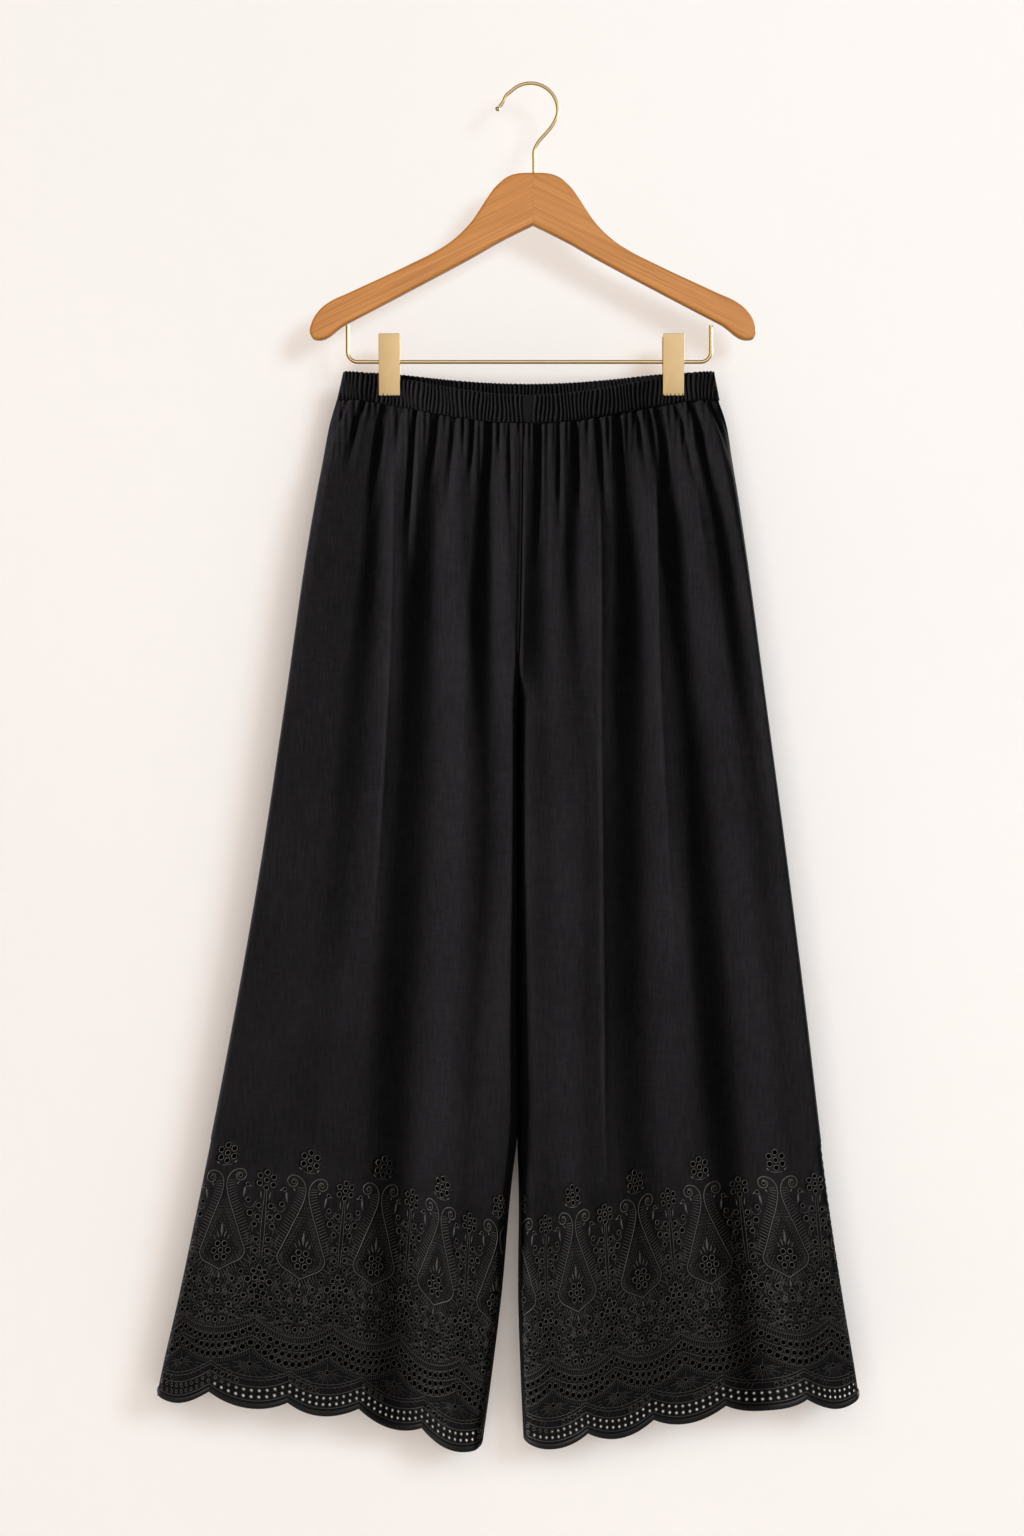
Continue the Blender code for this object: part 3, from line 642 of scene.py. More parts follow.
def hem_line(side, face, cloth):
    """The drop of the line through the hem's cusps."""
    line = follow(HEM_CLOTH, column(HEM, side + "_drop"), cloth)
    return line if face == "front" else line - follow(HEM_CLOTH, column(HEM, side + "_rise"), cloth)


FINE_CLOTH = np.linspace(0.0, 1.0, 401)
FINE_ACROSS = follow(HEM_CLOTH, HEM_ACROSS, FINE_CLOTH)


def cloth_at(across):
    """The share of the hem's cloth at a share of the leg's width."""
    return np.interp(across, FINE_ACROSS, FINE_CLOTH)


def panel_top(side, face, across):
    """The drop of the band's seam, and the x there."""
    outer, inner = leg_edges(side, BAND_DROP)
    band_x = outer + (inner - outer) * across
    return BAND_DROP + SEAM_GAP + sag(band_x, face), band_x


def panel_length(side, face, across):
    """The height from the line through the hem's cusps up to the band's seam."""
    return hem_line(side, face, cloth_at(across)) - panel_top(side, face, across)[0]


def leg_fullness(side, across, down, band_x, centre):
    """The leg's round form: as deep as the band at the top, full below, and rounded off at its edges."""
    close = quarter((1 - across) / ROUNDED_INNER[side])
    round_off = quarter(across / ROUNDED_OUTER) * (centre + (1 - centre) * close)
    held = 1 - blend(0.0, BAND_HOLD, down)
    full = follow(DOWNS, LEG_OUT, np.minimum(down, 1.0))
    if side == "right":
        full = full + FLARE * flare(across, down)
    return band_depth(band_x) * held + full * round_off * (1 - held)


def leg_surface(side, face, across, height):
    """Points of a leg panel's outside in millimetres, at heights above the line through its cusps."""
    top, band_x = panel_top(side, face, across)
    length = hem_line(side, face, cloth_at(across)) - top
    down = np.clip(1 - height / length, 0.0, LOWEST)
    drop = top + length * down
    outer, inner = leg_edges(side, drop)
    x = outer + (inner - outer) * across
    width = np.abs(inner - outer)
    seam = np.clip((drop - SEAM_START) / (CROTCH_DROP - SEAM_START), 0.0, 1.0)
    centre = np.sqrt(1 - seam**CENTRE_HOLD)
    inner_share = blend(0.0, FOLD_INNER, 1 - across)
    lift_share = blend(0.0, FOLD_OUTER, across) * (inner_share + (1 - inner_share) * centre)
    out = leg_fullness(side, across, down, band_x, centre) + gather_lift(down) * lift_share
    out = out - np.minimum(fold_depth(side, face, across, np.minimum(down, 1.0), width), out * FOLD_LIMIT)
    out = out - gather_depth(side, face, across, down, width) * inner_share
    out = out + crest_height(side, face, across, down, width) + puckers(x, down)
    out = out + side_seam(face, across, down, width)
    sewn = 1 - blend(CROTCH_DROP - CENTRE_FADE, CROTCH_DROP, drop)
    out = out + centre_seam(side, face, (1 - across) * width) * sewn
    out = np.maximum(out - TUCK * (1 - blend(0.0, TUCK_REACH, down)), 0.0)
    meet = SHELL_EDGE + (SHELL_MEET - SHELL_EDGE) * blend(*SHELL_CLOSE, down)
    rim = meet + (EDGE - meet) * blend(0.0, RIM_SHARE, np.minimum(across, 1 - across))
    return np.stack([x, OUTWARD[face] * (rim + out), -drop], axis=-1)


def flare(across, down):
    """How much of its flare the leg's outer edge has."""
    return (1 - blend(0.0, FLARE_REACH, across)) * blend(*FLARE_DOWN, down)


def leg_normals(side, face, across, height):
    """Unit normals of a leg panel, on its outside."""
    ahead = leg_surface(side, face, across + NUDGE / LEG_SPAN, height)
    behind = leg_surface(side, face, across - NUDGE / LEG_SPAN, height)
    above = leg_surface(side, face, across, height + NUDGE)
    below = leg_surface(side, face, across, height - NUDGE)
    normals = np.cross(ahead - behind, above - below)
    normals /= np.linalg.norm(normals, axis=-1, keepdims=True)
    return normals * np.sign(normals[..., 1:2]) * OUTWARD[face]


def puckers(x, down):
    """Small uneven gathers that die out just under the band's seam."""
    phase = x / PUCKER_PITCH * math.pi + waves(x, PUCKER_WAVES)
    fade = 1 - blend(0.0, PUCKER_REACH * (PUCKER_MEAN + waves(x, PUCKER_ENDS)), down)
    return PUCKER_HEIGHT * np.abs(np.sin(phase)) * fade


def side_seam(face, across, down, width):
    """The step where the side seam shows on the front near the band."""
    if face == "back":
        return np.zeros_like(across)
    inside = SEAM_IN * (1 - down / SEAM_REACH)
    step = 1 - blend(inside - SEAM_NEAR, inside + SEAM_FAR, across * width)
    return -SEAM_STEP * blend(0.0, SEAM_FADE, inside) * step


def centre_seam(side, face, away):
    """The welt down the middle: one panel's edge stands up beside the other's."""
    up = 1.0 if rightward(side, face) > 0 else -CENTRE_UNDER
    return CENTRE_SEAM * up * np.exp(-away / CENTRE_WIDTH)


def extended(xs, ys, x):
    """The smooth curve through a table, carried straight on beyond both ends."""
    first = (ys[1] - ys[0]) / (xs[1] - xs[0])
    last = (ys[-1] - ys[-2]) / (xs[-1] - xs[-2])
    return follow(xs, ys, x) + first * np.minimum(x - xs[0], 0.0) + last * np.maximum(x - xs[-1], 0.0)


def leg_share(side, flat, height):
    """How far across the leg a point of the border's chart lies."""
    share = flat / FLAT_WIDTH
    hem = extended(HEM_CLOTH, HEM_ACROSS, share)
    top = extended(HEM_CLOTH, column(HEM, side + "_top"), share)
    return hem + (top - hem) * height / FLOWER_HEIGHT


def edge_height(flat):
    """The scalloped edge, below the line through its cusps."""
    t = np.clip(flat, 0.0, FLAT_WIDTH) / PITCH % 1.0
    return -SCALLOP_DROP * 4 * t * (1 - t)


def smooth_path(points, count):
    """A smooth curve through a few points."""
    points = np.array(points, float)
    steps = np.linalg.norm(np.diff(points, axis=0), axis=1)
    along = np.concatenate([[0.0], np.cumsum(steps)])
    read = np.linspace(0.0, along[-1], count)
    return np.stack([follow(along, points[:, k], read) for k in range(points.shape[1])], axis=1)


# Mesh building


def add_object(name, data):
    """A new object in the scene."""
    thing = bpy.data.objects.new(name, data)
    bpy.context.collection.objects.link(thing)
    return thing


def new_piece(name, points, faces, material):
    """A mesh piece from points in metres."""
    mesh = bpy.data.meshes.new(name)
    mesh.from_pydata([tuple(p) for p in points], [], faces)
    mesh.materials.append(material)
    mesh.shade_smooth()
    return add_object(name, mesh)


@contextmanager
def edited(mesh):
    """A mesh that is open for changes, and written back after them."""
    bm = bmesh.new()
    bm.from_mesh(mesh)
    yield bm
    bm.to_mesh(mesh)
    bm.free()


def bmesh_piece(name, bm, place, material):
    """A smooth piece from an edited shape, moved into its place."""
    mesh = bpy.data.meshes.new(name)
    bm.to_mesh(mesh)
    bm.free()
    mesh.transform(place)
    mesh.materials.append(material)
    mesh.shade_smooth()
    mesh.set_sharp_from_angle(angle=SHARP)
    return add_object(name, mesh)


def grid_faces(rows, columns, close=False):
    """Quads of a grid of points, joined round if close is set."""
    faces = []
    for r in range(rows - 1):
        for c in range(columns if close else columns - 1):
            a = r * columns + c
            b = r * columns + (c + 1) % columns
            faces.append((a, b, b + columns, a + columns))
    return faces


# Embroidery


class Stitches:
    """Raised stitches on the border's chart: points (flat, height, lift) in millimetres, and faces."""

    def __init__(self):
        self.points = []
        self.faces = []
        self.count = 0

    def thread(self, path, width, lift=THREAD_LIFT, closed=False):
        """A cord of satin stitch along a path; width may be given at each point."""
        path = np.asarray(path, float)
        if closed:
            ahead = np.roll(path, -1, axis=0) - np.roll(path, 1, axis=0)
        else:
            ahead = np.gradient(path, axis=0)
        ahead /= np.maximum(np.linalg.norm(ahead, axis=1, keepdims=True), 1e-6)
        aside = np.stack([-ahead[:, 1], ahead[:, 0]], axis=1)
        half = np.broadcast_to(np.asarray(width, float) / 2, len(path))[:, None]
        points = np.zeros((len(path), 3, 3))
        points[:, 0, :2] = path + aside * half
        points[:, 1, :2] = path
        points[:, 2, :2] = path - aside * half
        points[:, 1, 2] = lift * half[:, 0] / np.max(half)
        faces = grid_faces(len(path), 3)
        if closed:
            last = (len(path) - 1) * 3
            faces += [(last, last + 1, 1, 0), (last + 1, last + 2, 2, 1)]
        self.faces.extend(tuple(i + self.count for i in face) for face in faces)
        self.points.append(points.reshape(-1, 3))
        self.count += len(path) * 3

    def ring(self, flat, height, inner):
        """The stitched ring round an eyelet."""
        angles = np.arange(RING_SIDES) * 2 * math.pi / RING_SIDES
        radius = inner + RING_WIDTH / 2
        path = np.stack([flat + radius * np.cos(angles), height + radius * np.sin(angles)], axis=1)
        self.thread(path, RING_WIDTH, RING_LIFT, closed=True)

    def leaf(self, flat, height, angle, length, width, bend=0.0):
        """A filled satin leaf that starts at a point; bend turns its tip, in degrees."""
        t = np.linspace(0.0, 1.0, 6)
        turn = np.radians(angle + bend * t)
        path = np.stack([flat + length * t * np.cos(turn), height + length * t * np.sin(turn)], axis=1)
        self.thread(path, np.maximum(width * np.sin(math.pi * t**LEAF_SWELL), LEAF_TIP), LEAF_LIFT)

    def bar(self, start, end, width):
        """One straight stitch."""
        self.thread([start, end], [width, width * BAR_TAPER])

    def feather(self, x, y, angle, length, bend, barb):
        """A curved stem with slanted barbs on both sides; angles in degrees."""
        t = np.linspace(0.0, 1.0, 7)
        turn = np.radians(angle + bend * t)
        stem = np.stack([x + length * t * np.cos(turn), y + length * t * np.sin(turn)], axis=1)
        self.thread(stem, WIDTHS["feather"])
        for share in np.arange(FEATHER_PITCH, length, FEATHER_PITCH) / length:
            start = [np.interp(share, t, stem[:, k]) for k in (0, 1)]
            for side in (-1, 1):
                way = math.radians(angle + bend * share * 2 + side * FEATHER_SLANT)
                reach = barb * math.sin(math.pi * (0.15 + 0.8 * share))
                end = (start[0] + reach * math.cos(way), start[1] + reach * math.sin(way))
                self.bar(start, end, WIDTHS["feather_barb"])

    def loop(self, x, y, angle, length, width):
        """A teardrop outline that starts at a point."""
        turns = np.linspace(0.0, 2 * math.pi, 13)
        along = length * (1 - np.cos(turns)) / 2
        aside = width / 2 * np.sin(turns) * (along / length) ** 0.6 * 1.2
        cos, sin = math.cos(math.radians(angle)), math.sin(math.radians(angle))
        path = [x + along * cos - aside * sin, y + along * sin + aside * cos]
        self.thread(np.stack(path, axis=1), WIDTHS["loop"])


class Pattern:
    """The stitches of one leg's border and the eyelets cut in it, in the order that they claim room."""

    def __init__(self):
        self.stitches = Stitches()
        self.fine = Stitches()
        self.rings = Stitches()
        self.fine_rings = Stitches()
        self.eyelets = []
        self.hem_count = 0

    def eyelet(self, flat, height, radius, fine=False):
        """Adds an eyelet where no earlier one is in its way."""
        for other, level, size in self.eyelets:
            if math.hypot(flat - other, height - level) < radius + size + EYELET_GAP:
                return
        self.eyelets.append((flat, height, radius))
        (self.fine_rings if fine else self.rings).ring(flat, height, radius)

    def flower(self, flat, height, spread, radius, petals=6, tilt=90.0, fine=False):
        """A ring of eyelets round one in the middle."""
        if petals == 6:
            self.eyelet(flat, height, radius * 0.9)
        for k in range(petals):
            angle = math.radians(tilt + 360.0 * k / petals)
            self.eyelet(flat + spread * math.cos(angle), height + spread * math.sin(angle), radius, fine)


def from_axis(flat):
    """How far a place is from the nearest motif's axis, as a share of the way to the next stalk's."""
    return np.abs((flat + PITCH / 2) % PITCH - PITCH / 2) / (PITCH / 2)


def garland_height(flat, low, high):
    """A garland that hangs lowest at the motifs' axes, over the hem's cusps."""
    return low + (high - low) * from_axis(flat) ** GARLAND_CURVE


def draw_edge(pattern):
    """The satin edge's bright lines and the rows of eyelets that follow the scallops."""
    flats = (np.arange(int(FLAT_WIDTH / EDGE_PITCH)) + 0.5) * EDGE_PITCH
    for above, size in EDGE_ROWS:
        for flat in flats:
            pattern.eyelet(float(flat), float(edge_height(flat)) + above, size)
    pattern.hem_count = len(pattern.eyelets)
    above, size, reach = EDGE_THIRD
    for flat in flats:
        if flat / PITCH % 1.0 < reach:
            pattern.eyelet(float(flat), float(edge_height(flat)) + above, size, fine=True)
    flats = np.linspace(-2.0, FLAT_WIDTH + 2.0, 260)
    for above in EDGE_LINES:
        pattern.fine.thread(np.stack([flats, edge_height(flats) + above], axis=1), WIDTHS["edge"])
    for scallop in range(SCALLOPS):
        flats = np.linspace(scallop * PITCH, (scallop + 1) * PITCH, 33)
        for above in ECHO_LINES:
            heights = edge_height(flats) + above
            under = heights < garland_height(flats, *GARLAND_LINES[0]) - ECHO_CLEAR
            if under.any():
                pattern.fine.thread(np.stack([flats[under], heights[under]], axis=1), WIDTHS["echo"])


def draw_garlands(pattern):
    """The rows of eyelets over the scallops, with lines and short slanted stitches between them."""
    for row in GARLANDS:
        for flat in np.arange(-4.0, FLAT_WIDTH + 4.0, row.pitch):
            if from_axis(flat) <= row.reach:
                height = float(garland_height(flat, row.low, row.high))
                pattern.eyelet(float(flat), height, row.size, fine=True)
    flats = np.linspace(-OVERRUN, FLAT_WIDTH + OVERRUN, 200)
    for low, high in GARLAND_LINES:
        pattern.fine.thread(np.stack([flats, garland_height(flats, low, high)], axis=1), WIDTHS["garland"])
    for row in HATCHES:
        for flat in np.arange(-OVERRUN, FLAT_WIDTH + OVERRUN, HATCH_PITCH):
            start = float(garland_height(flat, row.low, row.high))
            lean = HATCH_LEAN * row.length * (1 if (flat + PITCH / 2) % PITCH < PITCH / 2 else -1)
            pattern.fine.bar((flat, start), (flat + lean, start + row.length), WIDTHS["hatch"])


def fan_room(flats, heights):
    """Where a fan has room, between the edge's rows and the lowest garland."""
    lowest = garland_height(flats, HATCHES[0].low, HATCHES[0].high)
    return (heights > edge_height(flats) + FAN_OVER) & (heights < lowest - FAN_UNDER)


def draw_fan(pattern, middle):
    """A sunburst over the middle of a scallop: an eyelet with rays of straight stitches and an arch."""
    pattern.eyelet(middle, FAN_HEIGHT, FAN_EYELET, fine=True)
    for row in FAN_RAYS:
        for turn in (np.arange(row.count) + row.shift) * 2 * math.pi / row.count:
            reach = np.array([row.near, row.far])
            flats = middle + reach * math.cos(turn)
            heights = FAN_HEIGHT + reach * math.sin(turn) * FAN_SQUASH
            if fan_room(flats, heights).all():
                pattern.fine.bar((flats[0], heights[0]), (flats[1], heights[1]), WIDTHS["ray"])
    turns = np.radians(np.linspace(0.0, 180.0, 25))
    flats = middle + FAN_ARCH * np.cos(turns)
    heights = FAN_HEIGHT + FAN_SQUASH * FAN_ARCH * np.sin(turns)
    shown = fan_room(flats, heights)
    for half in (slice(0, 13), slice(12, 25)):
        if shown[half].sum() > 1:
            arch = np.stack([flats[half][shown[half]], heights[half][shown[half]]], axis=1)
            pattern.fine.thread(arch, WIDTHS["arch"])


def draw_palmette(pattern, axis):
    """A tall vase-shaped motif over a cusp of the hem: scrolls, a flower on top and one inside."""
    stitches = pattern.stitches
    for row in PALMETTE_FLOWERS:
        pattern.flower(axis, row.height, row.spread, row.radius, tilt=row.tilt)
    for mirror in (-1, 1):
        outline = smooth_path([(axis + mirror * x, y) for x, y in VASE_OUTLINE], VASE_STEPS)
        stitches.thread(outline, WIDTHS["vase"])
        draw_scroll(stitches, axis, mirror)
        draw_barbs(pattern, outline, axis, mirror)
        hook = smooth_path([(axis + mirror * x, y) for x, y in PALMETTE_HOOK], 8)
        pattern.fine.thread(hook, WIDTHS["hook"])
        for x, y, size in PALMETTE_EYELETS:
            pattern.eyelet(axis + mirror * x, y, size)
        for row in PALMETTE_LEAVES:
            place = (axis + mirror * row.x, row.y, 90 - mirror * row.turn)
            stitches.leaf(*place, row.length, row.width, bend=mirror * row.bend)
        for rise, reach in PALMETTE_BARS:
            stitches.bar((axis, rise), (axis + mirror * reach, rise + 0.8), WIDTHS["bar"])
    for height, length, width in PALMETTE_SPIKES:
        stitches.leaf(axis, height, 90, length, width)


def draw_scroll(stitches, axis, mirror):
    """The scroll that ends one side of the vase's outline."""
    middle, level, wide, narrow = SCROLL
    turns = np.radians(np.linspace(95.0, -290.0, 28))
    shrink = np.linspace(wide, narrow, 28)
    scroll = [axis + mirror * (middle + shrink * np.cos(turns)), level + shrink * np.sin(turns)]
    stitches.thread(np.stack(scroll, axis=1), WIDTHS["scroll"])


def draw_barbs(pattern, outline, axis, mirror):
    """Straight stitches that stand off the vase's outline: outside all round, and finer ones within."""
    steps = np.linalg.norm(np.diff(outline, axis=0), axis=1)
    along = np.concatenate([[0.0], np.cumsum(steps)])
    neck = np.interp(VASE_NECK, outline[:, 1], along)
    shoulder = np.interp(VASE_SHOULDER, outline[:, 1], along)
    for place in np.arange(1.0, neck, BARB_PITCH):
        x, y, ahead_x, ahead_y = path_frame(along, outline, place)
        out_x, out_y = mirror * ahead_y, -mirror * ahead_x
        length = BARB_LENGTHS[0] + (BARB_LENGTHS[1] - BARB_LENGTHS[0]) * place / neck
        far = BARB_CLEAR + length
        start = (x + out_x * BARB_CLEAR, y + out_y * BARB_CLEAR)
        end = (x + out_x * far, y + out_y * far + BARB_RISE * length)
        pattern.stitches.bar(start, end, WIDTHS["barb"])
        if place > shoulder:
            continue
        reach = min(INNER_LENGTH, abs(x - axis) * 0.5)
        start = (x - out_x * BARB_CLEAR, y - out_y * BARB_CLEAR)
        end = (start[0] - out_x * reach + ahead_x * reach, start[1] - out_y * reach + ahead_y * reach)
        pattern.fine.bar(start, end, WIDTHS["inner_barb"])


def path_frame(along, path, place):
    """The point of a path at a place along it, and the direction there."""
    x, y = (np.interp(place, along, path[:, k]) for k in (0, 1))
    behind, ahead = (
        [np.interp(place + shift, along, path[:, k]) for k in (0, 1)] for shift in (-1.0, 1.0)
    )
    step_x, step_y = ahead[0] - behind[0], ahead[1] - behind[1]
    size = math.hypot(step_x, step_y)
    return x, y, step_x / size, step_y / size


def draw_stalk(pattern, axis):
    """A flower on a stem between two palmettes, with eyelets in pairs down the stem."""
    stitches = pattern.stitches
    top, *others = STALK_FLOWERS
    pattern.flower(axis, top.height, top.spread, top.radius)
    for aside in STALK_SIDES:
        stem = smooth_path([(axis + aside * x, y) for x, y in STALK_STEM], 10)
        stitches.thread(stem, WIDTHS["stem"])
        stitches.leaf(axis + aside * 4.0, 192.0, 90 - aside * 8, 9.0, 1.6)
    apart, rise, size = STALK_PAIR_EYELET
    for height in np.arange(*STALK_PAIRS):
        for mirror in (-1, 1):
            pattern.eyelet(axis + mirror * apart, float(height) + mirror * rise, size)
            pattern.fine.leaf(axis + mirror * 1.5, height - 7.0, 90 - mirror * 55, 5.5, 1.1)
            pattern.fine.feather(axis + mirror * 9.5, height - 5.0, 90 - mirror * 20, 9.0, mirror * 30, 1.8)
    for row in others:
        pattern.flower(axis, row.height, row.spread, row.radius, row.petals, row.tilt, row.fine)


def draw_ground(pattern, axis):
    """The dense small work between the palmettes and the garlands."""
    for mirror in (-1, 1):
        for x, y, size in GROUND_EYELETS:
            pattern.eyelet(axis + mirror * x, y, size, fine=size < GROUND_FINE)
        for row in FEATHERS:
            place = (axis + mirror * row.x, row.y, 90 - mirror * row.angle)
            pattern.fine.feather(*place, row.length, -mirror * row.bend, row.barb)
        for x, y, turn, length, width in LOOPS:
            pattern.fine.loop(axis + mirror * x, y, 90 - mirror * turn, length, width)
        for x, y, size in CURLS:
            turns = np.linspace(-0.5 * math.pi, 1.2 * math.pi, 12)
            shrink = np.linspace(size, size * 0.5, 12)
            curl = [axis + mirror * (x + shrink * np.cos(turns)), y + shrink * np.sin(turns)]
            pattern.stitches.thread(np.stack(curl, axis=1), WIDTHS["curl"])
    pattern.stitches.leaf(axis, 110.5, 90, 8.5, 2.4)


def draw_seeding(pattern):
    """Fine seed stitches between the motifs and inside the vases, turned in slow waves."""
    low, high, top = SEED_LEVELS
    sides, levels = np.array(VASE_OUTLINE).T
    for row, height in enumerate(np.arange(low, top, SEED_PITCH)):
        half = np.interp(height, levels, sides) if height > levels[0] else 0.0
        for flat in np.arange(-6.0 + row % 2 * SEED_PITCH / 2, FLAT_WIDTH + 6.0, SEED_PITCH):
            away = abs((flat + PITCH / 2) % PITCH - PITCH / 2)
            within = away < half - SEED_INSIDE
            if not within and (away < half + SEED_OUTSIDE and half or height > high):
                continue
            if within and math.hypot(away, height - SEED_FLOWER) < SEED_ROOM:
                continue
            if height < garland_height(flat, *GARLAND_LINES[-1]):
                continue
            turn = math.radians(90 + 55 * math.sin(away / 4.5 + height / 8.0) + 25 * math.sin(height / 3.7))
            x, y = SEED_LENGTH / 2 * math.cos(turn), SEED_LENGTH / 2 * math.sin(turn)
            pattern.fine.bar((flat - x, height - y), (flat + x, height + y), WIDTHS["seed"])


def draw_border():
    """The whole pattern of one leg's border."""
    pattern = Pattern()
    draw_edge(pattern)
    for cusp in range(SCALLOPS + 1):
        draw_palmette(pattern, cusp * PITCH)
    for middle in range(-1, SCALLOPS + 1):
        draw_stalk(pattern, (middle + 0.5) * PITCH)
    draw_garlands(pattern)
    for cusp in range(SCALLOPS + 1):
        draw_ground(pattern, cusp * PITCH)
    for middle in range(SCALLOPS):
        draw_fan(pattern, (middle + 0.5) * PITCH)
    draw_seeding(pattern)
    return pattern


# Leg panels


def panel_columns():
    """Shares across a leg, closer together at its two edges."""
    t = np.linspace(0.0, 1.0, PANEL_COLUMNS)
    return 0.5 * t + 0.5 * (1 - np.cos(math.pi * t)) / 2


def in_view(side, face, chart):
    """Where the middles of eyelets lie in the camera's view, in millimetres at the garment."""
    share = np.clip(leg_share(side, chart[:, 0], chart[:, 1]), 0.0, 1.0)
    ahead = leg_surface(side, face, share, chart[:, 1]) - np.array(CAMERA_PLACE) / MM
    return ahead[:, ::2] / ahead[:, 1:2] * abs(CAMERA_PLACE[1]) / MM


def cut_eyelets(side, face, pattern):
    """The eyelets that are cut: the back keeps cloth behind each of the front's above the hem."""
    chart = np.array(pattern.eyelets)
    if face == "front":
        return chart
    front, back = (in_view(side, name, chart) for name in FACES)
    front = front[pattern.hem_count:]
    away = np.linalg.norm(front[:, None] - back[None], axis=2)
    meets = away < chart[pattern.hem_count:, None, 2] + chart[None, :, 2]
    return chart[~meets.any(axis=0)]


def eyelet_loops(side, eyelets):
    """The eyelets as loops of points in the leg's own shares and heights, those that are whole."""
    angles = np.arange(HOLE_SIDES) * 2 * math.pi / HOLE_SIDES
    loops = []
    for flat, height, radius in eyelets:
        heights = height + radius * np.sin(angles)
        shares = leg_share(side, flat + radius * np.cos(angles), heights)
        if shares.min() > SIDE_CLEAR and shares.max() < 1 - SIDE_CLEAR and heights.max() < BORDER - 2:
            loops.append(np.stack([shares * LEG_SPAN, heights], axis=1))
    return loops


def border_net(side, eyelets):
    """Triangles of the flat border with its eyelets cut out: points (share, height) and faces."""
    flats = np.linspace(FLAT_WIDTH, 0.0, EDGE_STEPS)
    edge = edge_height(flats)
    shares = np.clip(leg_share(side, flats, edge), 0.0, 1.0)
    shares[0], shares[-1] = 1.0, 0.0
    bottom = list(zip(shares * LEG_SPAN, edge))
    line = np.array(bottom)[::-1]
    levels = np.arange(FILL, BORDER - 1, FILL)
    outline = [(x, BORDER) for x in panel_columns() * LEG_SPAN]
    outline += [(LEG_SPAN, h) for h in levels[::-1]] + bottom + [(0.0, h) for h in levels]
    loops = eyelet_loops(side, eyelets)
    points, edges, owner = [], [], []
    for number, loop in enumerate([outline, *loops], -1):
        first = len(points)
        points.extend(loop)
        edges += [(first + i, first + (i + 1) % len(loop)) for i in range(len(loop))]
        owner += [number] * len(loop)
    fill = fill_points(loops, line)
    points += fill
    owner += [-1] * len(fill)
    places = [Vector([float(v) for v in p]) for p in points]
    found, _, faces, sources, _, _ = delaunay_2d_cdt(places, edges, [], 0, 1e-4)
    net = np.array([tuple(p) for p in found])
    hole = np.array([owner[source[0]] if source else -1 for source in sources])
    kept = []
    for face in faces:
        ids = hole[list(face)]
        x, height = net[list(face)].mean(axis=0)
        below = height < np.interp(x, line[:, 0], line[:, 1]) - 1e-3
        if not below and (ids[0] < 0 or (ids != ids[0]).any()):
            kept.append(tuple(face))
    return net / (LEG_SPAN, 1.0), kept


def fill_points(loops, line):
    """An even net of points inside the border, clear of its edge and of the eyelets."""
    fill = []
    centres = np.array([loop.mean(axis=0) for loop in loops])
    reaches = [np.linalg.norm(loop - loop.mean(axis=0), axis=1).max() for loop in loops]
    reaches = np.array(reaches) + FILL_CLEAR
    for row, height in enumerate(np.arange(-SCALLOP_DROP, BORDER - 2.5, FILL * 0.9)):
        for x in np.arange(2.5 + (row % 2) * FILL / 2, LEG_SPAN - 2.0, FILL):
            if height < np.interp(x, line[:, 0], line[:, 1]) + FILL_EDGE:
                continue
            if (np.hypot(centres[:, 0] - x, centres[:, 1] - height) > reaches).all():
                fill.append((x, height))
    return fill


def make_panel(side, face, pattern, material, wrong_side):
    """One leg panel: the plain cloth above, and the border with its eyelets below."""
    columns = panel_columns()
    length = panel_length(side, face, columns)
    steps = np.linspace(0.0, 1.0, PANEL_ROWS) ** ROWS_TO_TOP
    heights = length[None, :] - steps[:, None] * (length[None, :] - BORDER)
    heights[-1, :] = BORDER
    shares = np.broadcast_to(columns, heights.shape)
    net, faces = border_net(side, cut_eyelets(side, face, pattern))
    share = np.concatenate([shares.ravel(), net[:, 0]])
    height = np.concatenate([heights.ravel(), net[:, 1]])
    points = leg_surface(side, face, share, height) * MM
    faces = grid_faces(PANEL_ROWS, len(columns)) + [tuple(i + heights.size for i in f) for f in faces]
    piece = new_piece(f"leg_{side}_{face}_cloth", points, faces, material)
    with edited(piece.data) as bm:
        bmesh.ops.remove_doubles(bm, verts=bm.verts, dist=2e-6)
        bmesh.ops.recalc_face_normals(bm, faces=bm.faces)
        if sum(f.normal.y * f.calc_area() for f in bm.faces) * OUTWARD[face] < 0:
            bmesh.ops.reverse_faces(bm, faces=bm.faces)
    # The inside faces get the wrong side's material, a darker copy of the cloth that paints shade
    piece.data.materials.append(wrong_side)
    shell = piece.modifiers.new("cloth_thickness", "SOLIDIFY")
    shell.thickness = CLOTH * MM
    shell.offset = -1.0
    shell.material_offset = 1
    return piece


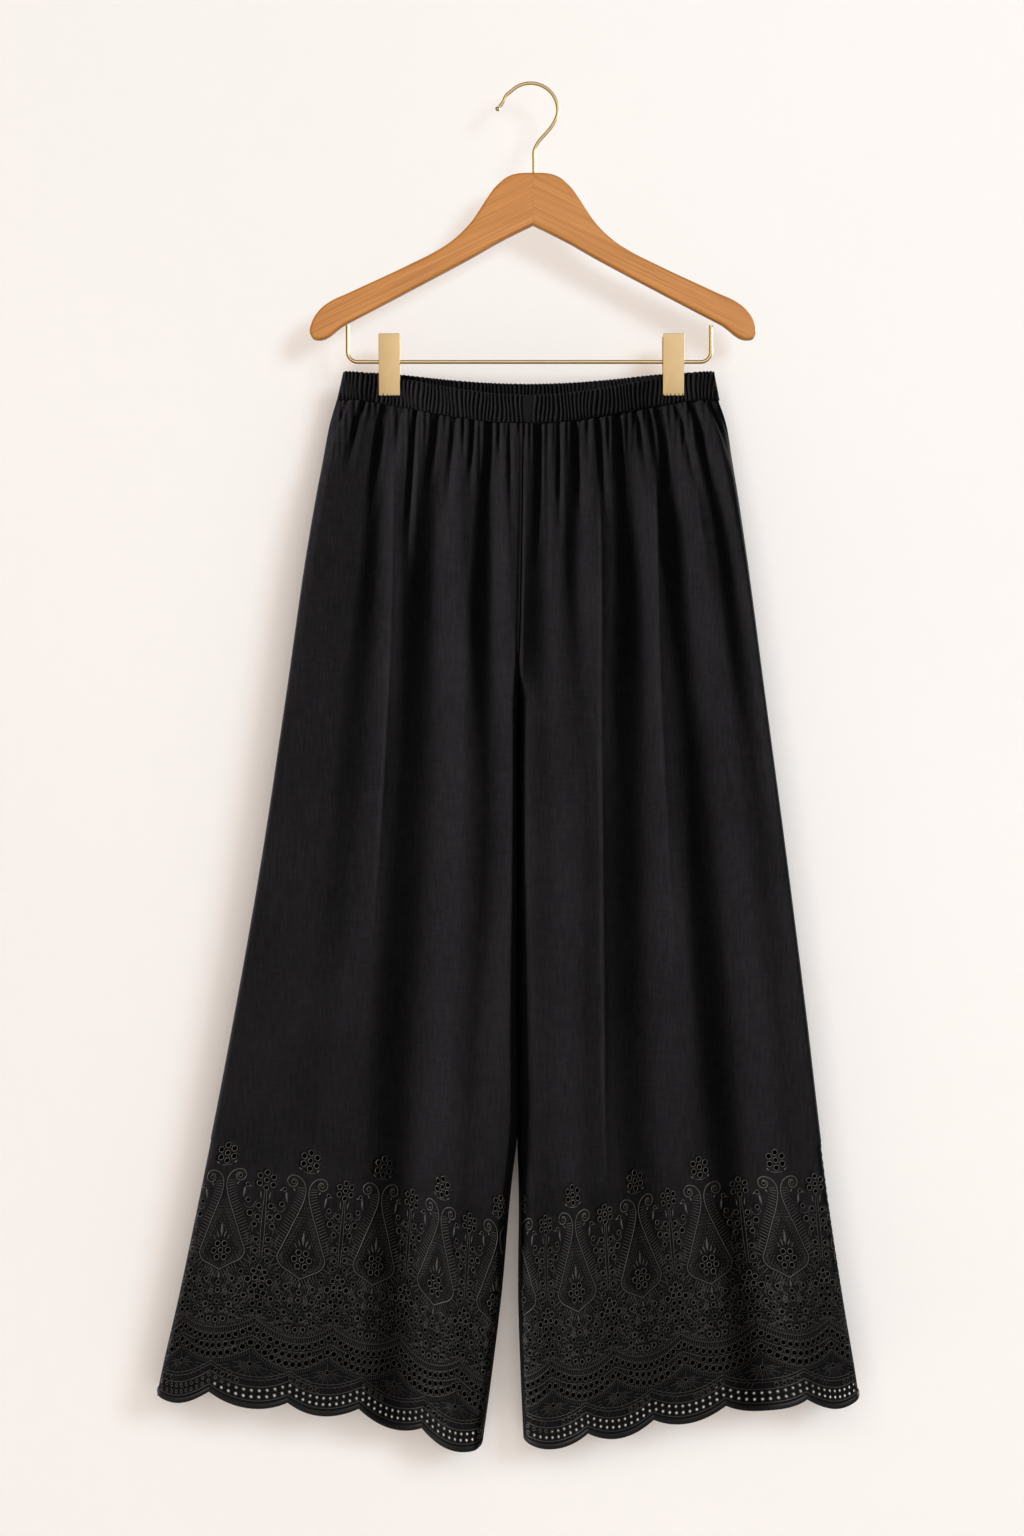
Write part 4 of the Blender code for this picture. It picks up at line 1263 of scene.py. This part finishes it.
def make_embroidery(side, face, pattern, thread, fine_thread):
    """The border's stitches, laid on the panel, with none across an eyelet."""
    points, faces, kinds = [], [], []
    # Shade 0 takes the paler thread, painted sheen on the raised stitches and rings; shade 1 takes the dimmer
    # thread, painted shade on the fine work
    rings = [(pattern.rings, 0, True), (pattern.fine_rings, 1, True)]
    for group, shade, whole in rings + [(pattern.stitches, 0, False), (pattern.fine, 1, False)]:
        chart = np.concatenate(group.points)
        share = leg_share(side, chart[:, 0], chart[:, 1])
        clear = (share > STITCH_CLEAR) & (share < 1 - STITCH_CLEAR)
        if not whole:
            for flat, height, radius in pattern.eyelets:
                clear &= np.hypot(chart[:, 0] - flat, chart[:, 1] - height) > radius + RING_CLEAR
        kept = [f for f in group.faces if all(clear[i] for i in f)]
        used = np.unique(np.array(kept).ravel())
        renumber = np.zeros(len(chart), int)
        renumber[used] = np.arange(len(used)) + sum(map(len, points))
        faces += [tuple(int(renumber[i]) for i in f) for f in kept]
        kinds += [shade] * len(kept)
        chart, share = chart[used], share[used]
        normals = leg_normals(side, face, share, chart[:, 1])
        points.append(leg_surface(side, face, share, chart[:, 1]) + normals * (chart[:, 2:3] - SUNK))
    if face == "front":
        faces = [f[::-1] for f in faces]
    piece = new_piece(f"leg_{side}_{face}_embroidery", np.concatenate(points) * MM, faces, thread)
    piece.data.materials.append(fine_thread)
    piece.data.polygons.foreach_set("material_index", kinds)
    return piece


def make_satin_edge(side, face, material):
    """The padded satin edge that follows the scallops, wrapped round the cloth's raw edge."""
    flats = np.linspace(0.0, FLAT_WIDTH, SATIN_STEPS)
    angles = np.arange(SATIN_SIDES) * 2 * math.pi / SATIN_SIDES
    edge = edge_height(flats) + SATIN_WIDTH / 2 - SATIN_OVER
    heights = edge[:, None] + SATIN_WIDTH / 2 * np.sin(angles)
    lifts = np.broadcast_to(SATIN_THICK / 2 * np.cos(angles) - CLOTH / 2, heights.shape)
    share = np.clip(leg_share(side, flats, edge_height(flats)), SATIN_CLEAR, 1 - SATIN_CLEAR)
    share = np.broadcast_to(share[:, None], heights.shape)
    ribs = 1 + SATIN_RIB * np.where(np.arange(SATIN_STEPS) % 2, 1.0, -1.0)[:, None, None]
    relief = leg_normals(side, face, share, heights) * lifts[..., None] * ribs
    points = (leg_surface(side, face, share, heights) + relief) * MM
    faces = grid_faces(SATIN_STEPS, SATIN_SIDES, close=True)
    last = (SATIN_STEPS - 1) * SATIN_SIDES
    faces.append(tuple(range(SATIN_SIDES)))
    faces.append(tuple(range(last + SATIN_SIDES - 1, last - 1, -1)))
    piece = new_piece(f"leg_{side}_{face}_satin_edge", points.reshape(-1, 3), faces, material)
    face_outward(piece)
    return piece


def face_outward(piece):
    """Turns every face's normal outward."""
    with edited(piece.data) as bm:
        bmesh.ops.recalc_face_normals(bm, faces=bm.faces)


# Waistband


def band_rib(x, face):
    """How far the band's gathered ribs stand out, from 0 in a groove to 1 on a rib."""
    wander = waves(x, RIB_WAVES) + (RIB_SHIFT if face == "back" else 0.0)
    phase = (x / RIB_PITCH + wander * RIB_WANDER) * math.pi
    rib = np.abs(np.sin(phase)) ** RIB_POWER
    if face == "back":
        return rib
    left, right = PATCH
    plain = blend(left - PATCH_SOFT, left, x) * (1 - blend(right, right + PATCH_SOFT, x))
    return rib * (1 - plain) + PATCH_RIB * plain


def make_band(face, material, inside):
    """One face of the gathered waistband, a casing that is turned over at the top."""
    points = []
    for height, depth, rib_share in band_profile():
        up = height / BAND_HEIGHT
        left, right = (BAND_BOTTOM_SIDE[s] + (BAND_TOP_SIDE[s] - BAND_BOTTOM_SIDE[s]) * up for s in SIDES)
        x = np.linspace(left, right, BAND_COLUMNS)
        skew = BAND_SKEW * np.sin(height / SKEW_WAVE[1] + x / SKEW_WAVE[0])
        rib = band_rib(x + skew, face)
        wave = TOP_WAVE * rib * blend(BAND_HEIGHT * TOP_WAVE_FROM, BAND_HEIGHT, height)
        depths = band_depth(x)
        shown = rib_share if rib_share > 0 else rib_share * np.clip(depths / 4.0, 0.0, 1.0)
        out = BAND_LINING + depths + depth + shown * RIB_OUT * rib
        ends = quarter(np.minimum(x - left, right - x) / BAND_END)
        out = BAND_LINING + (out - BAND_LINING) * (BAND_END_OUT + (1 - BAND_END_OUT) * ends)
        points.append(np.stack([x, OUTWARD[face] * out, height + wave - BAND_DROP - sag(x, face)], axis=1))
    points = np.array(points) * MM
    rows = len(points)
    faces = []
    for r in range(rows):
        for c in range(BAND_COLUMNS - 1):
            a = r * BAND_COLUMNS + c
            b = (r + 1) % rows * BAND_COLUMNS + c
            faces.append((a, a + 1, b + 1, b))
    faces.append(tuple(r * BAND_COLUMNS for r in range(rows)))
    faces.append(tuple(r * BAND_COLUMNS + BAND_COLUMNS - 1 for r in reversed(range(rows))))
    piece = new_piece(f"waistband_{face}_cloth", points.reshape(-1, 3), faces, material)
    # The inside faces get a darker copy of the cloth, painted shade
    piece.data.materials.append(inside)
    kinds = np.zeros(len(faces), int)
    kinds[BAND_INSIDE * (BAND_COLUMNS - 1):rows * (BAND_COLUMNS - 1)] = 1
    piece.data.polygons.foreach_set("material_index", kinds)
    face_outward(piece)
    return piece


def band_profile():
    """The band's section, up the outside, over the fold and down the inside: height, depth, ribs' share."""
    outside = [(-0.6, 1.1, 0.15), (0.4, 1.8, 0.45), (1.6, 2.0, 0.8), (3.2, 2.1, 1.0)]
    for height in (6.5, 10.5, 14.5, 18.5, 22.0):
        outside.append((height, 2.1 + 0.25 * math.sin(math.pi * height / BAND_HEIGHT), 1.0))
    outside += [(24.6, 2.1, 1.0), (26.2, 1.7, 0.9), (27.2, 1.15, 0.6), (27.5, 0.6, 0.3)]
    inside = [(27.1, 0.15, -0.2), (25.8, 0.0, -0.7), (20.0, 0.0, -0.8), (12.0, 0.0, -0.8)]
    return outside + inside + [(4.0, 0.0, -0.5), (0.0, 0.1, 0.0)]


# Hanger


def make_arm(side, material):
    """One half of the wooden arch, its edges rounded over."""
    mirror = 1 if side == "left" else -1
    curve = bpy.data.curves.new("arm", "CURVE")
    curve.dimensions = "2D"
    curve.fill_mode = "BOTH"
    curve.resolution_u = 14
    curve.offset = -WOOD_ROUND * MM
    curve.bevel_depth = WOOD_ROUND * MM
    curve.bevel_resolution = 5
    curve.extrude = (WOOD_THICK / 2 - WOOD_ROUND) * MM
    spline = curve.splines.new("BEZIER")
    spline.use_cyclic_u = True
    spline.bezier_points.add(len(ARM_OUTLINE) - 1)
    for point, (x, z) in zip(spline.bezier_points, ARM_OUTLINE):
        point.co = (x * mirror * MM, z * MM, 0.0)
        point.handle_left_type = point.handle_right_type = "VECTOR" if x == ARM_JOIN else "AUTO"
    shape = add_object("arm", curve)
    shape.location.x = HANGER_MIDDLE * MM
    shape.rotation_euler.x = math.pi / 2
    piece = curve_to_mesh(shape, f"hanger_arm_{side}", material)
    join = ((HANGER_MIDDLE - ARM_GAP * mirror) * MM, 0.0, 0.0)
    with edited(piece.data) as bm:
        whole = [*bm.verts, *bm.edges, *bm.faces]
        cut = bmesh.ops.bisect_plane(
            bm, geom=whole, plane_co=join, plane_no=(mirror, 0.0, 0.0), clear_outer=True,
        )
        bmesh.ops.edgenet_fill(bm, edges=[e for e in cut["geom_cut"] if isinstance(e, bmesh.types.BMEdge)])
        bmesh.ops.recalc_face_normals(bm, faces=bm.faces)
    piece.data.set_sharp_from_angle(angle=SHARP)
    return piece


def curve_to_mesh(shape, name, material):
    """Turns a curve object into a mesh piece in the frame's own coordinates."""
    bpy.context.view_layer.update()
    graph = bpy.context.evaluated_depsgraph_get()
    mesh = bpy.data.meshes.new_from_object(shape.evaluated_get(graph))
    mesh.transform(shape.matrix_world)
    mesh.name = name
    mesh.materials.clear()
    mesh.materials.append(material)
    piece = add_object(name, mesh)
    bpy.data.objects.remove(shape)
    with edited(mesh) as bm:
        bmesh.ops.remove_doubles(bm, verts=bm.verts, dist=1e-6)
        bmesh.ops.recalc_face_normals(bm, faces=bm.faces)
    mesh.shade_smooth()
    mesh.set_sharp_from_angle(angle=SHARP)
    return piece


def make_tube(name, points, wire, material):
    """A round wire through points (x, y, z) in millimetres."""
    curve = bpy.data.curves.new(name, "CURVE")
    curve.dimensions = "3D"
    curve.bevel_depth = wire / 2 * MM
    curve.bevel_resolution = 5
    curve.use_fill_caps = True
    spline = curve.splines.new("POLY")
    spline.points.add(len(points) - 1)
    for point, place in zip(spline.points, points):
        point.co = (*(v * MM for v in place), 1.0)
    return curve_to_mesh(add_object(name, curve), name, material)


def make_hook(material):
    """The hook's wire: its stem, its arc and its flare."""
    start, end = (math.radians(angle) for angle in HOOK_ARC)
    x, z = HOOK_CENTRE
    angles = np.linspace(start, end, 17)
    arc = [(x + HOOK_RADIUS * math.cos(a), z + HOOK_RADIUS * math.sin(a)) for a in angles]
    path = smooth_path([*HOOK_STEM, *arc, *HOOK_FLARE], 150)
    return make_tube("hanger_hook_wire", [(a, 0.0, b) for a, b in path], HOOK_WIRE, material)


def make_tip(material):
    """The ball that closes the hook's end."""
    x, z = BALL_PLACE
    ball = bmesh.new()
    bmesh.ops.create_uvsphere(ball, u_segments=28, v_segments=18, radius=BALL_RADIUS * MM)
    return bmesh_piece("hanger_hook_ball", ball, Matrix.Translation((x * MM, 0.0, z * MM)), material)


def make_bar(material):
    """The bar that carries the clips, turned up into the arms at both ends."""
    left, right = BAR_ENDS
    bend = []
    for angle in np.linspace(0.0, math.pi / 2, 14):
        bend.append((BAR_BEND * (1 - math.cos(angle)), BAR_BEND * (1 - math.sin(angle))))
    down = [(left + x, 0.0, z - BAR_DROP) for x, z in bend]
    up = [(right - x, 0.0, z - BAR_DROP) for x, z in reversed(bend)]
    path = [(left, 0.0, -BAR_END_DROP), *down, *up, (right, 0.0, -BAR_END_DROP)]
    return make_tube("hanger_bar_wire", path, BAR_WIRE, material)


def make_leaf(side, face, material):
    """A clip's leaf: a flat plate with softly rounded corners and edges, leaning in to its jaw."""
    toward = OUTWARD[face]
    bm = bmesh.new()
    bmesh.ops.create_cube(bm, size=1.0)
    for vertex in bm.verts:
        vertex.co.x *= CLIP_WIDTH
        vertex.co.y = vertex.co.y * CLIP_PLATE + toward * CLIP_PLATE / 2
        vertex.co.z = (vertex.co.z + 0.5) * CLIP_LENGTH
    upright = [e for e in bm.edges if abs(e.verts[0].co.y - e.verts[1].co.y) > 0.5]
    bmesh.ops.bevel(bm, geom=upright, offset=CLIP_CORNER, segments=4, affect="EDGES", profile=0.5)
    rim = [e for e in bm.edges if e.calc_face_angle(0.0) > math.radians(50)]
    bmesh.ops.bevel(bm, geom=rim, offset=CLIP_EDGE, segments=3, affect="EDGES", profile=0.5)
    lean = math.asin((CLIP_MOUTH - CLIP_JAW) / CLIP_LENGTH)
    place = Matrix.Translation((CLIP_MIDDLES[side], toward * CLIP_JAW, -CLIP_BOTTOM_DROP))
    place = Matrix.Scale(MM, 4) @ place @ Matrix.Rotation(-toward * lean, 4, "X")
    return bmesh_piece(f"clip_{side}_{face}_leaf", bm, place, material)


def make_spring(side, material):
    """A clip's coiled spring round the bar."""
    coils = int(SPRING_LENGTH / (SPRING_WIRE + COIL_GAP))
    turns = np.linspace(0.0, 2 * math.pi * coils, coils * COIL_STEPS + 1)
    radius = SPRING_OUTER - SPRING_WIRE / 2
    start = CLIP_MIDDLES[side] - SPRING_LENGTH / 2 + SPRING_WIRE / 2
    run = start + (SPRING_LENGTH - SPRING_WIRE) * turns / turns[-1]
    path = [(x, radius * math.cos(a), radius * math.sin(a) - BAR_DROP) for x, a in zip(run, turns)]
    return make_tube(f"clip_{side}_coil", path, SPRING_WIRE, material)


# Materials


class Shader:
    """A material's Principled shader with short helpers for its nodes."""

    def __init__(self, name, **values):
        self.material = bpy.data.materials.new(name)
        self.material.use_nodes = True
        self.tree = self.material.node_tree
        self.main = self.tree.nodes["Principled BSDF"]
        self.fill(self.main, **values)

    def node(self, kind, **settings):
        """A new node with its settings."""
        node = self.tree.nodes.new(kind)
        for key, value in settings.items():
            setattr(node, key, value)
        return node

    def fill(self, node, **values):
        """Constants on a node's sockets."""
        for key, value in values.items():
            node.inputs[key.replace("_", " ")].default_value = value

    def link(self, out, into):
        """A wire between two sockets."""
        self.tree.links.new(out, into)

    def height(self):
        """The drop below the hook, as a negative height in metres."""
        coordinates = self.node("ShaderNodeTexCoord")
        parts = self.node("ShaderNodeSeparateXYZ")
        self.link(coordinates.outputs["Object"], parts.inputs["Vector"])
        return parts.outputs["Z"]

    def noise(self, scale, detail=3.0, roughness=0.5, turn=0.0):
        """Noise over the object's own space, stretched, and turned in the garment's plane."""
        coordinates = self.node("ShaderNodeTexCoord")
        mapping = self.node("ShaderNodeMapping", vector_type="TEXTURE")
        noise = self.node("ShaderNodeTexNoise")
        self.fill(mapping, Rotation=(0.0, turn, 0.0), Scale=[1.0 / v for v in scale])
        self.fill(noise, Scale=1.0, Detail=detail, Roughness=roughness)
        self.link(coordinates.outputs["Object"], mapping.inputs["Vector"])
        self.link(mapping.outputs["Vector"], noise.inputs["Vector"])
        return noise.outputs["Fac"]

    def colour(self, value, *stops):
        """The base colour, from a ramp of stops (place, colour)."""
        ramp = self.node("ShaderNodeValToRGB")
        elements = ramp.color_ramp.elements
        while len(elements) < len(stops):
            elements.new(0.5)
        for element, (place, colour) in zip(elements, stops):
            element.position = place
            element.color = (*colour, 1.0)
        self.link(value, ramp.inputs["Fac"])
        self.link(ramp.outputs["Color"], self.main.inputs["Base Color"])

    def grey(self, value, low, high, start=0.0, end=1.0):
        """Maps a value from one range onto another."""
        span = self.node("ShaderNodeMapRange")
        self.fill(span, From_Min=start, From_Max=end, To_Min=low, To_Max=high)
        self.link(value, span.inputs["Value"])
        return span.outputs["Result"]

    def add(self, first, second, share=1.0):
        """A value with a share of another."""
        total = self.node("ShaderNodeMath", operation="MULTIPLY_ADD")
        self.link(second, total.inputs[0])
        total.inputs[1].default_value = share
        self.link(first, total.inputs[2])
        return total.outputs[0]

    def bump(self, height, distance, strength):
        """Fine relief from a value; distance in metres."""
        bump = self.node("ShaderNodeBump")
        self.fill(bump, Distance=distance, Strength=strength)
        self.link(height, bump.inputs["Height"])
        self.link(bump.outputs["Normal"], self.main.inputs["Normal"])


def cloth_material(name, strength=1.0):
    """Black washed rayon: matt, with a faint slub and a fine twill, and painted shade that darkens it low in
    the border, among the stitches.
    """
    shader = Shader(name, Roughness=0.82, Specular_IOR_Level=CLOTH_SPECULAR)
    slub = shader.noise((520.0, 520.0, 60.0))
    cross = shader.noise((70.0, 70.0, 560.0))
    cloud = shader.noise((14.0, 14.0, 9.0), 4.0)
    fleck = shader.add(slub, cross, 0.6)
    # Painted shade: the cloth darkens below these heights, among the border's stitches
    low = shader.grey(shader.height(), 0.0, -BORDER_SHADE, *BORDER_SHADE_FADE)
    weave = shader.add(shader.add(fleck, cloud, 0.7), low)
    # A strength below 1 gives a darker copy of the cloth, painted shade for the wrong side and the band's
    # inside
    tones = [(place, [v * strength for v in tone]) for place, tone in zip((0.0, 0.55, 1.0), CLOTH_TONES)]
    shader.colour(shader.grey(weave, 0.0, 1.0, 0.78, 1.52), *tones)
    shader.bump(fleck, 0.00022, 0.6)
    return shader.material


def thread_material(name, dark, light, specular=THREAD_SPECULAR):
    """Black embroidery thread with a soft gloss and fine stitches across it; where its given colours are
    paler than the cloth, they are painted sheen.
    """
    shader = Shader(name, Roughness=0.55, Specular_IOR_Level=specular)
    fine = shader.noise((1800.0, 1800.0, 1800.0), 2.0)
    cloud = shader.noise((30.0, 30.0, 30.0))
    tone = shader.add(fine, cloud, 0.8)
    shader.colour(shader.grey(tone, 0.0, 1.0, 0.6, 1.2), (0.0, dark), (1.0, light))
    shader.bump(fine, 0.00012, 0.7)
    return shader.material


def wood_material(side):
    """Light varnished wood with its grain along one arm, and painted shade that darkens it where its edges
    round away from its broad faces.
    """
    slope = math.radians(ARM_SLOPE if side == "left" else -ARM_SLOPE)
    gloss = {"Specular_IOR_Level": WOOD_SPECULAR, "Coat_Weight": 0.08, "Coat_Roughness": 0.25}
    shader = Shader(f"varnished_wood_painted_edge_shade_{side}", Roughness=0.42, **gloss)
    bands = shader.noise((5.0, 120.0, 420.0), turn=-slope)
    pores = shader.noise((14.0, 380.0, 620.0), roughness=0.6, turn=-slope)
    # Painted shade: the colour darkens as the normal turns away from the front and back, on the rounded edges
    sides = shader.node("ShaderNodeNewGeometry")
    size = shader.node("ShaderNodeVectorMath", operation="ABSOLUTE")
    parts = shader.node("ShaderNodeSeparateXYZ")
    shader.link(sides.outputs["Normal"], size.inputs[0])
    shader.link(size.outputs["Vector"], parts.inputs["Vector"])
    edge = shader.grey(parts.outputs["Y"], -0.6, 0.0, 0.2, 0.8)
    streaks = shader.grey(bands, 0.58, 0.84, 0.3, 0.7)
    tone = shader.add(streaks, shader.grey(pores, -0.5, 0.5, 0.25, 0.75), 0.45)
    shader.colour(
        shader.add(tone, edge), (0.0, WOOD_EDGE_SHADE), (0.4, WOOD_DARK), (0.68, WOOD_MIDDLE), (1.0, WOOD_LIGHT),
    )
    shader.link(shader.grey(pores, 0.5, 0.36), shader.main.inputs["Roughness"])
    shader.bump(pores, 0.00008, 0.5)
    return shader.material


def brass_material(name, colour, roughness, brushed):
    """Pale satin brass, finely brushed."""
    shader = Shader(name, Roughness=roughness, Metallic=1.0)
    scratch = shader.noise(brushed, 2.0)
    cloud = shader.noise((40.0, 40.0, 40.0))
    tone = shader.add(scratch, cloud, 0.8)
    dark = tuple(v * 0.9 for v in colour)
    light = tuple(v * 1.06 for v in colour)
    shader.colour(shader.grey(tone, 0.0, 1.0, 0.6, 1.2), (0.0, dark), (1.0, light))
    shader.link(shader.grey(scratch, roughness - 0.05, roughness + 0.07), shader.main.inputs["Roughness"])
    shader.bump(scratch, 0.00002, 0.5)
    return shader.material


def wall_material():
    """Warm white paint on the side that faces the garment, and nothing seen from behind."""
    shader = Shader("warm_white_wall", Roughness=0.95, Specular_IOR_Level=0.1)
    shader.colour(shader.noise((1.3, 1.3, 1.3)), (0.3, WALL_LOW), (0.7, WALL_HIGH))
    shader.bump(shader.noise((260.0, 260.0, 260.0)), 0.00015, 0.4)
    clear = shader.node("ShaderNodeBsdfTransparent")
    either = shader.node("ShaderNodeMixShader")
    side = shader.node("ShaderNodeNewGeometry")
    shader.link(side.outputs["Backfacing"], either.inputs["Fac"])
    shader.link(shader.main.outputs["BSDF"], either.inputs[1])
    shader.link(clear.outputs["BSDF"], either.inputs[2])
    shader.link(either.outputs["Shader"], shader.tree.nodes["Material Output"].inputs["Surface"])
    return shader.material


def floor_material():
    """Pale matt floor."""
    shader = Shader("pale_floor", Roughness=0.7)
    shader.colour(shader.noise((2.0, 2.0, 2.0)), (0.3, FLOOR_LOW), (0.7, FLOOR_HIGH))
    return shader.material


# Room, light and camera


def make_plane(name, place, turn, material):
    """A square of the room, which isn't part of the object."""
    bpy.ops.mesh.primitive_plane_add(size=ROOM_SIZE, location=place, rotation=turn)
    plane = bpy.context.active_object
    plane.name = name
    plane.data.materials.append(material)
    return plane


def make_light(name, place, size, power, colour, receivers=None, blockers=None):
    """A soft square lamp; receivers and blockers limit what it lights and what shades it."""
    data = bpy.data.lights.new(name, "AREA")
    data.shape = "SQUARE"
    data.size = size
    data.energy = power
    data.color = colour
    lamp = add_object(name, data)
    lamp.location = place
    lamp.rotation_euler = (Vector(LAMP_TARGET) - Vector(place)).to_track_quat("-Z", "Y").to_euler()
    lamp.light_linking.receiver_collection = receivers
    lamp.light_linking.blocker_collection = blockers


def make_world():
    """Faint even light from all round."""
    world = bpy.data.worlds.new("soft_room")
    bpy.context.scene.world = world
    world.use_nodes = True
    background = world.node_tree.nodes["Background"]
    background.inputs["Color"].default_value = (*WORLD_COLOUR, 1.0)
    background.inputs["Strength"].default_value = WORLD_STRENGTH


def make_camera():
    """The photo's view, straight on."""
    data = bpy.data.cameras.new("camera")
    data.lens = LENS
    camera = add_object("camera", data)
    camera.location = CAMERA_PLACE
    camera.rotation_euler = (math.pi / 2, 0.0, 0.0)
    bpy.context.scene.camera = camera


def finish_piece(piece, slot, *nodes):
    """A piece of the one rigid body, and the solids it stands for, which are hidden; slot, its finish, is not
    used.
    """
    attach(piece, "root")
    if nodes:
        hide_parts(*nodes)
    return piece


def make_garment():
    """The waistband's two faces and the four leg panels, each with its embroidery and satin edge."""
    cloth = cloth_material("black_washed_rayon")
    wrong_side = cloth_material("black_rayon_wrong_side_painted_shade", WRONG_SIDE_SHADE)
    inside = cloth_material("black_rayon_band_inside_painted_shade", BAND_INSIDE_SHADE)
    thread = thread_material("black_embroidery_thread_painted_sheen", *THREAD)
    fine_thread = thread_material("fine_black_thread_painted_dimmer", *FINE_THREAD)
    satin = thread_material("black_satin_stitch", *SATIN_THREAD, SATIN_SPECULAR)
    pattern = draw_border()
    garment = []
    for face in FACES:
        band = finish_piece(make_band(face, cloth, inside), "cloth", f"waistband_{face}")
        garment.append(band)
        for side in SIDES:
            nodes = [f"leg_{side}_{face}_{part}" for part in LEG_PARTS]
            panel = finish_piece(make_panel(side, face, pattern, cloth, wrong_side), "cloth", *nodes)
            stitches = finish_piece(make_embroidery(side, face, pattern, thread, fine_thread), "cloth")
            edge = finish_piece(make_satin_edge(side, face, satin), "cloth")
            garment += [panel, stitches, edge]
    return garment


def make_hanger():
    """The wooden arms, the wire hook and bar, and the two clips."""
    wire = brass_material("satin_brass_wire", WIRE_BRASS, 0.36, (900.0, 900.0, 200.0))
    plate = brass_material("matt_brass_plate", PLATE_BRASS, 0.5, (900.0, 900.0, 60.0))
    hanger = [
        finish_piece(make_hook(wire), "brass", "hanger_hook"),
        finish_piece(make_tip(wire), "brass", "hanger_hook_tip"),
        finish_piece(make_bar(wire), "brass", "hanger_bar"),
    ]
    for side in SIDES:
        arm = make_arm(side, wood_material(side))
        arm.visible_diffuse = False
        hanger.append(finish_piece(arm, "wood", f"hanger_wood_{side}"))
        hanger.append(finish_piece(make_spring(side, wire), "brass", f"clip_{side}_spring"))
        for face in FACES:
            hanger.append(finish_piece(make_leaf(side, face, plate), "brass", f"clip_{side}_{face}"))
    return hanger


def gather_in(name, pieces):
    """A collection that light linking can name."""
    holder = bpy.data.collections.new(name)
    for piece in pieces:
        holder.objects.link(piece)
    return holder


def make_room(garment, hanger):
    """A wall close behind, a floor below, and soft lamps; raking ones show the black cloth's folds."""
    wall = make_plane("wall", (0.0, WALL_PLACE, -0.6), (math.pi / 2, 0.0, 0.0), wall_material())
    wall.visible_shadow = False
    floor = make_plane("floor", (0.0, 0.0, FLOOR_LEVEL), (0.0, 0.0, 0.0), floor_material())
    pale = gather_in("pale_things", [wall, floor, *hanger])
    black = gather_in("black_cloth", garment)
    both = gather_in("hung_things", [*garment, *hanger])
    make_light("key", (3.2, -5.0, 1.3), 1.8, KEY_POWER, KEY_COLOUR, pale)
    make_light("fill", (0.1, -5.6, 0.2), 5.5, FILL_POWER, FILL_COLOUR, pale, black)
    make_light("cloth_key", (-4.3, -2.15, 0.75), 1.05, CLOTH_POWER, CLOTH_LIGHT, black)
    make_light("cloth_fill", (1.6, -3.0, -0.3), 2.0, CLOTH_FILL_POWER, (0.95, 0.97, 1.0), black)
    make_light("back_key", (2.9, 1.45, 0.4), 0.7, BACK_POWER, CLOTH_LIGHT, both)
    make_light("back_fill", (-1.6, 3.0, 0.2), 2.0, BACK_FILL_POWER, (1.0, 0.98, 0.95))
    make_world()


def main():
    """The whole scene."""
    bpy.context.scene.view_settings.view_transform = "Standard"
    make_camera()
    garment = make_garment()
    hanger = make_hanger()
    make_room(garment, hanger)


main()
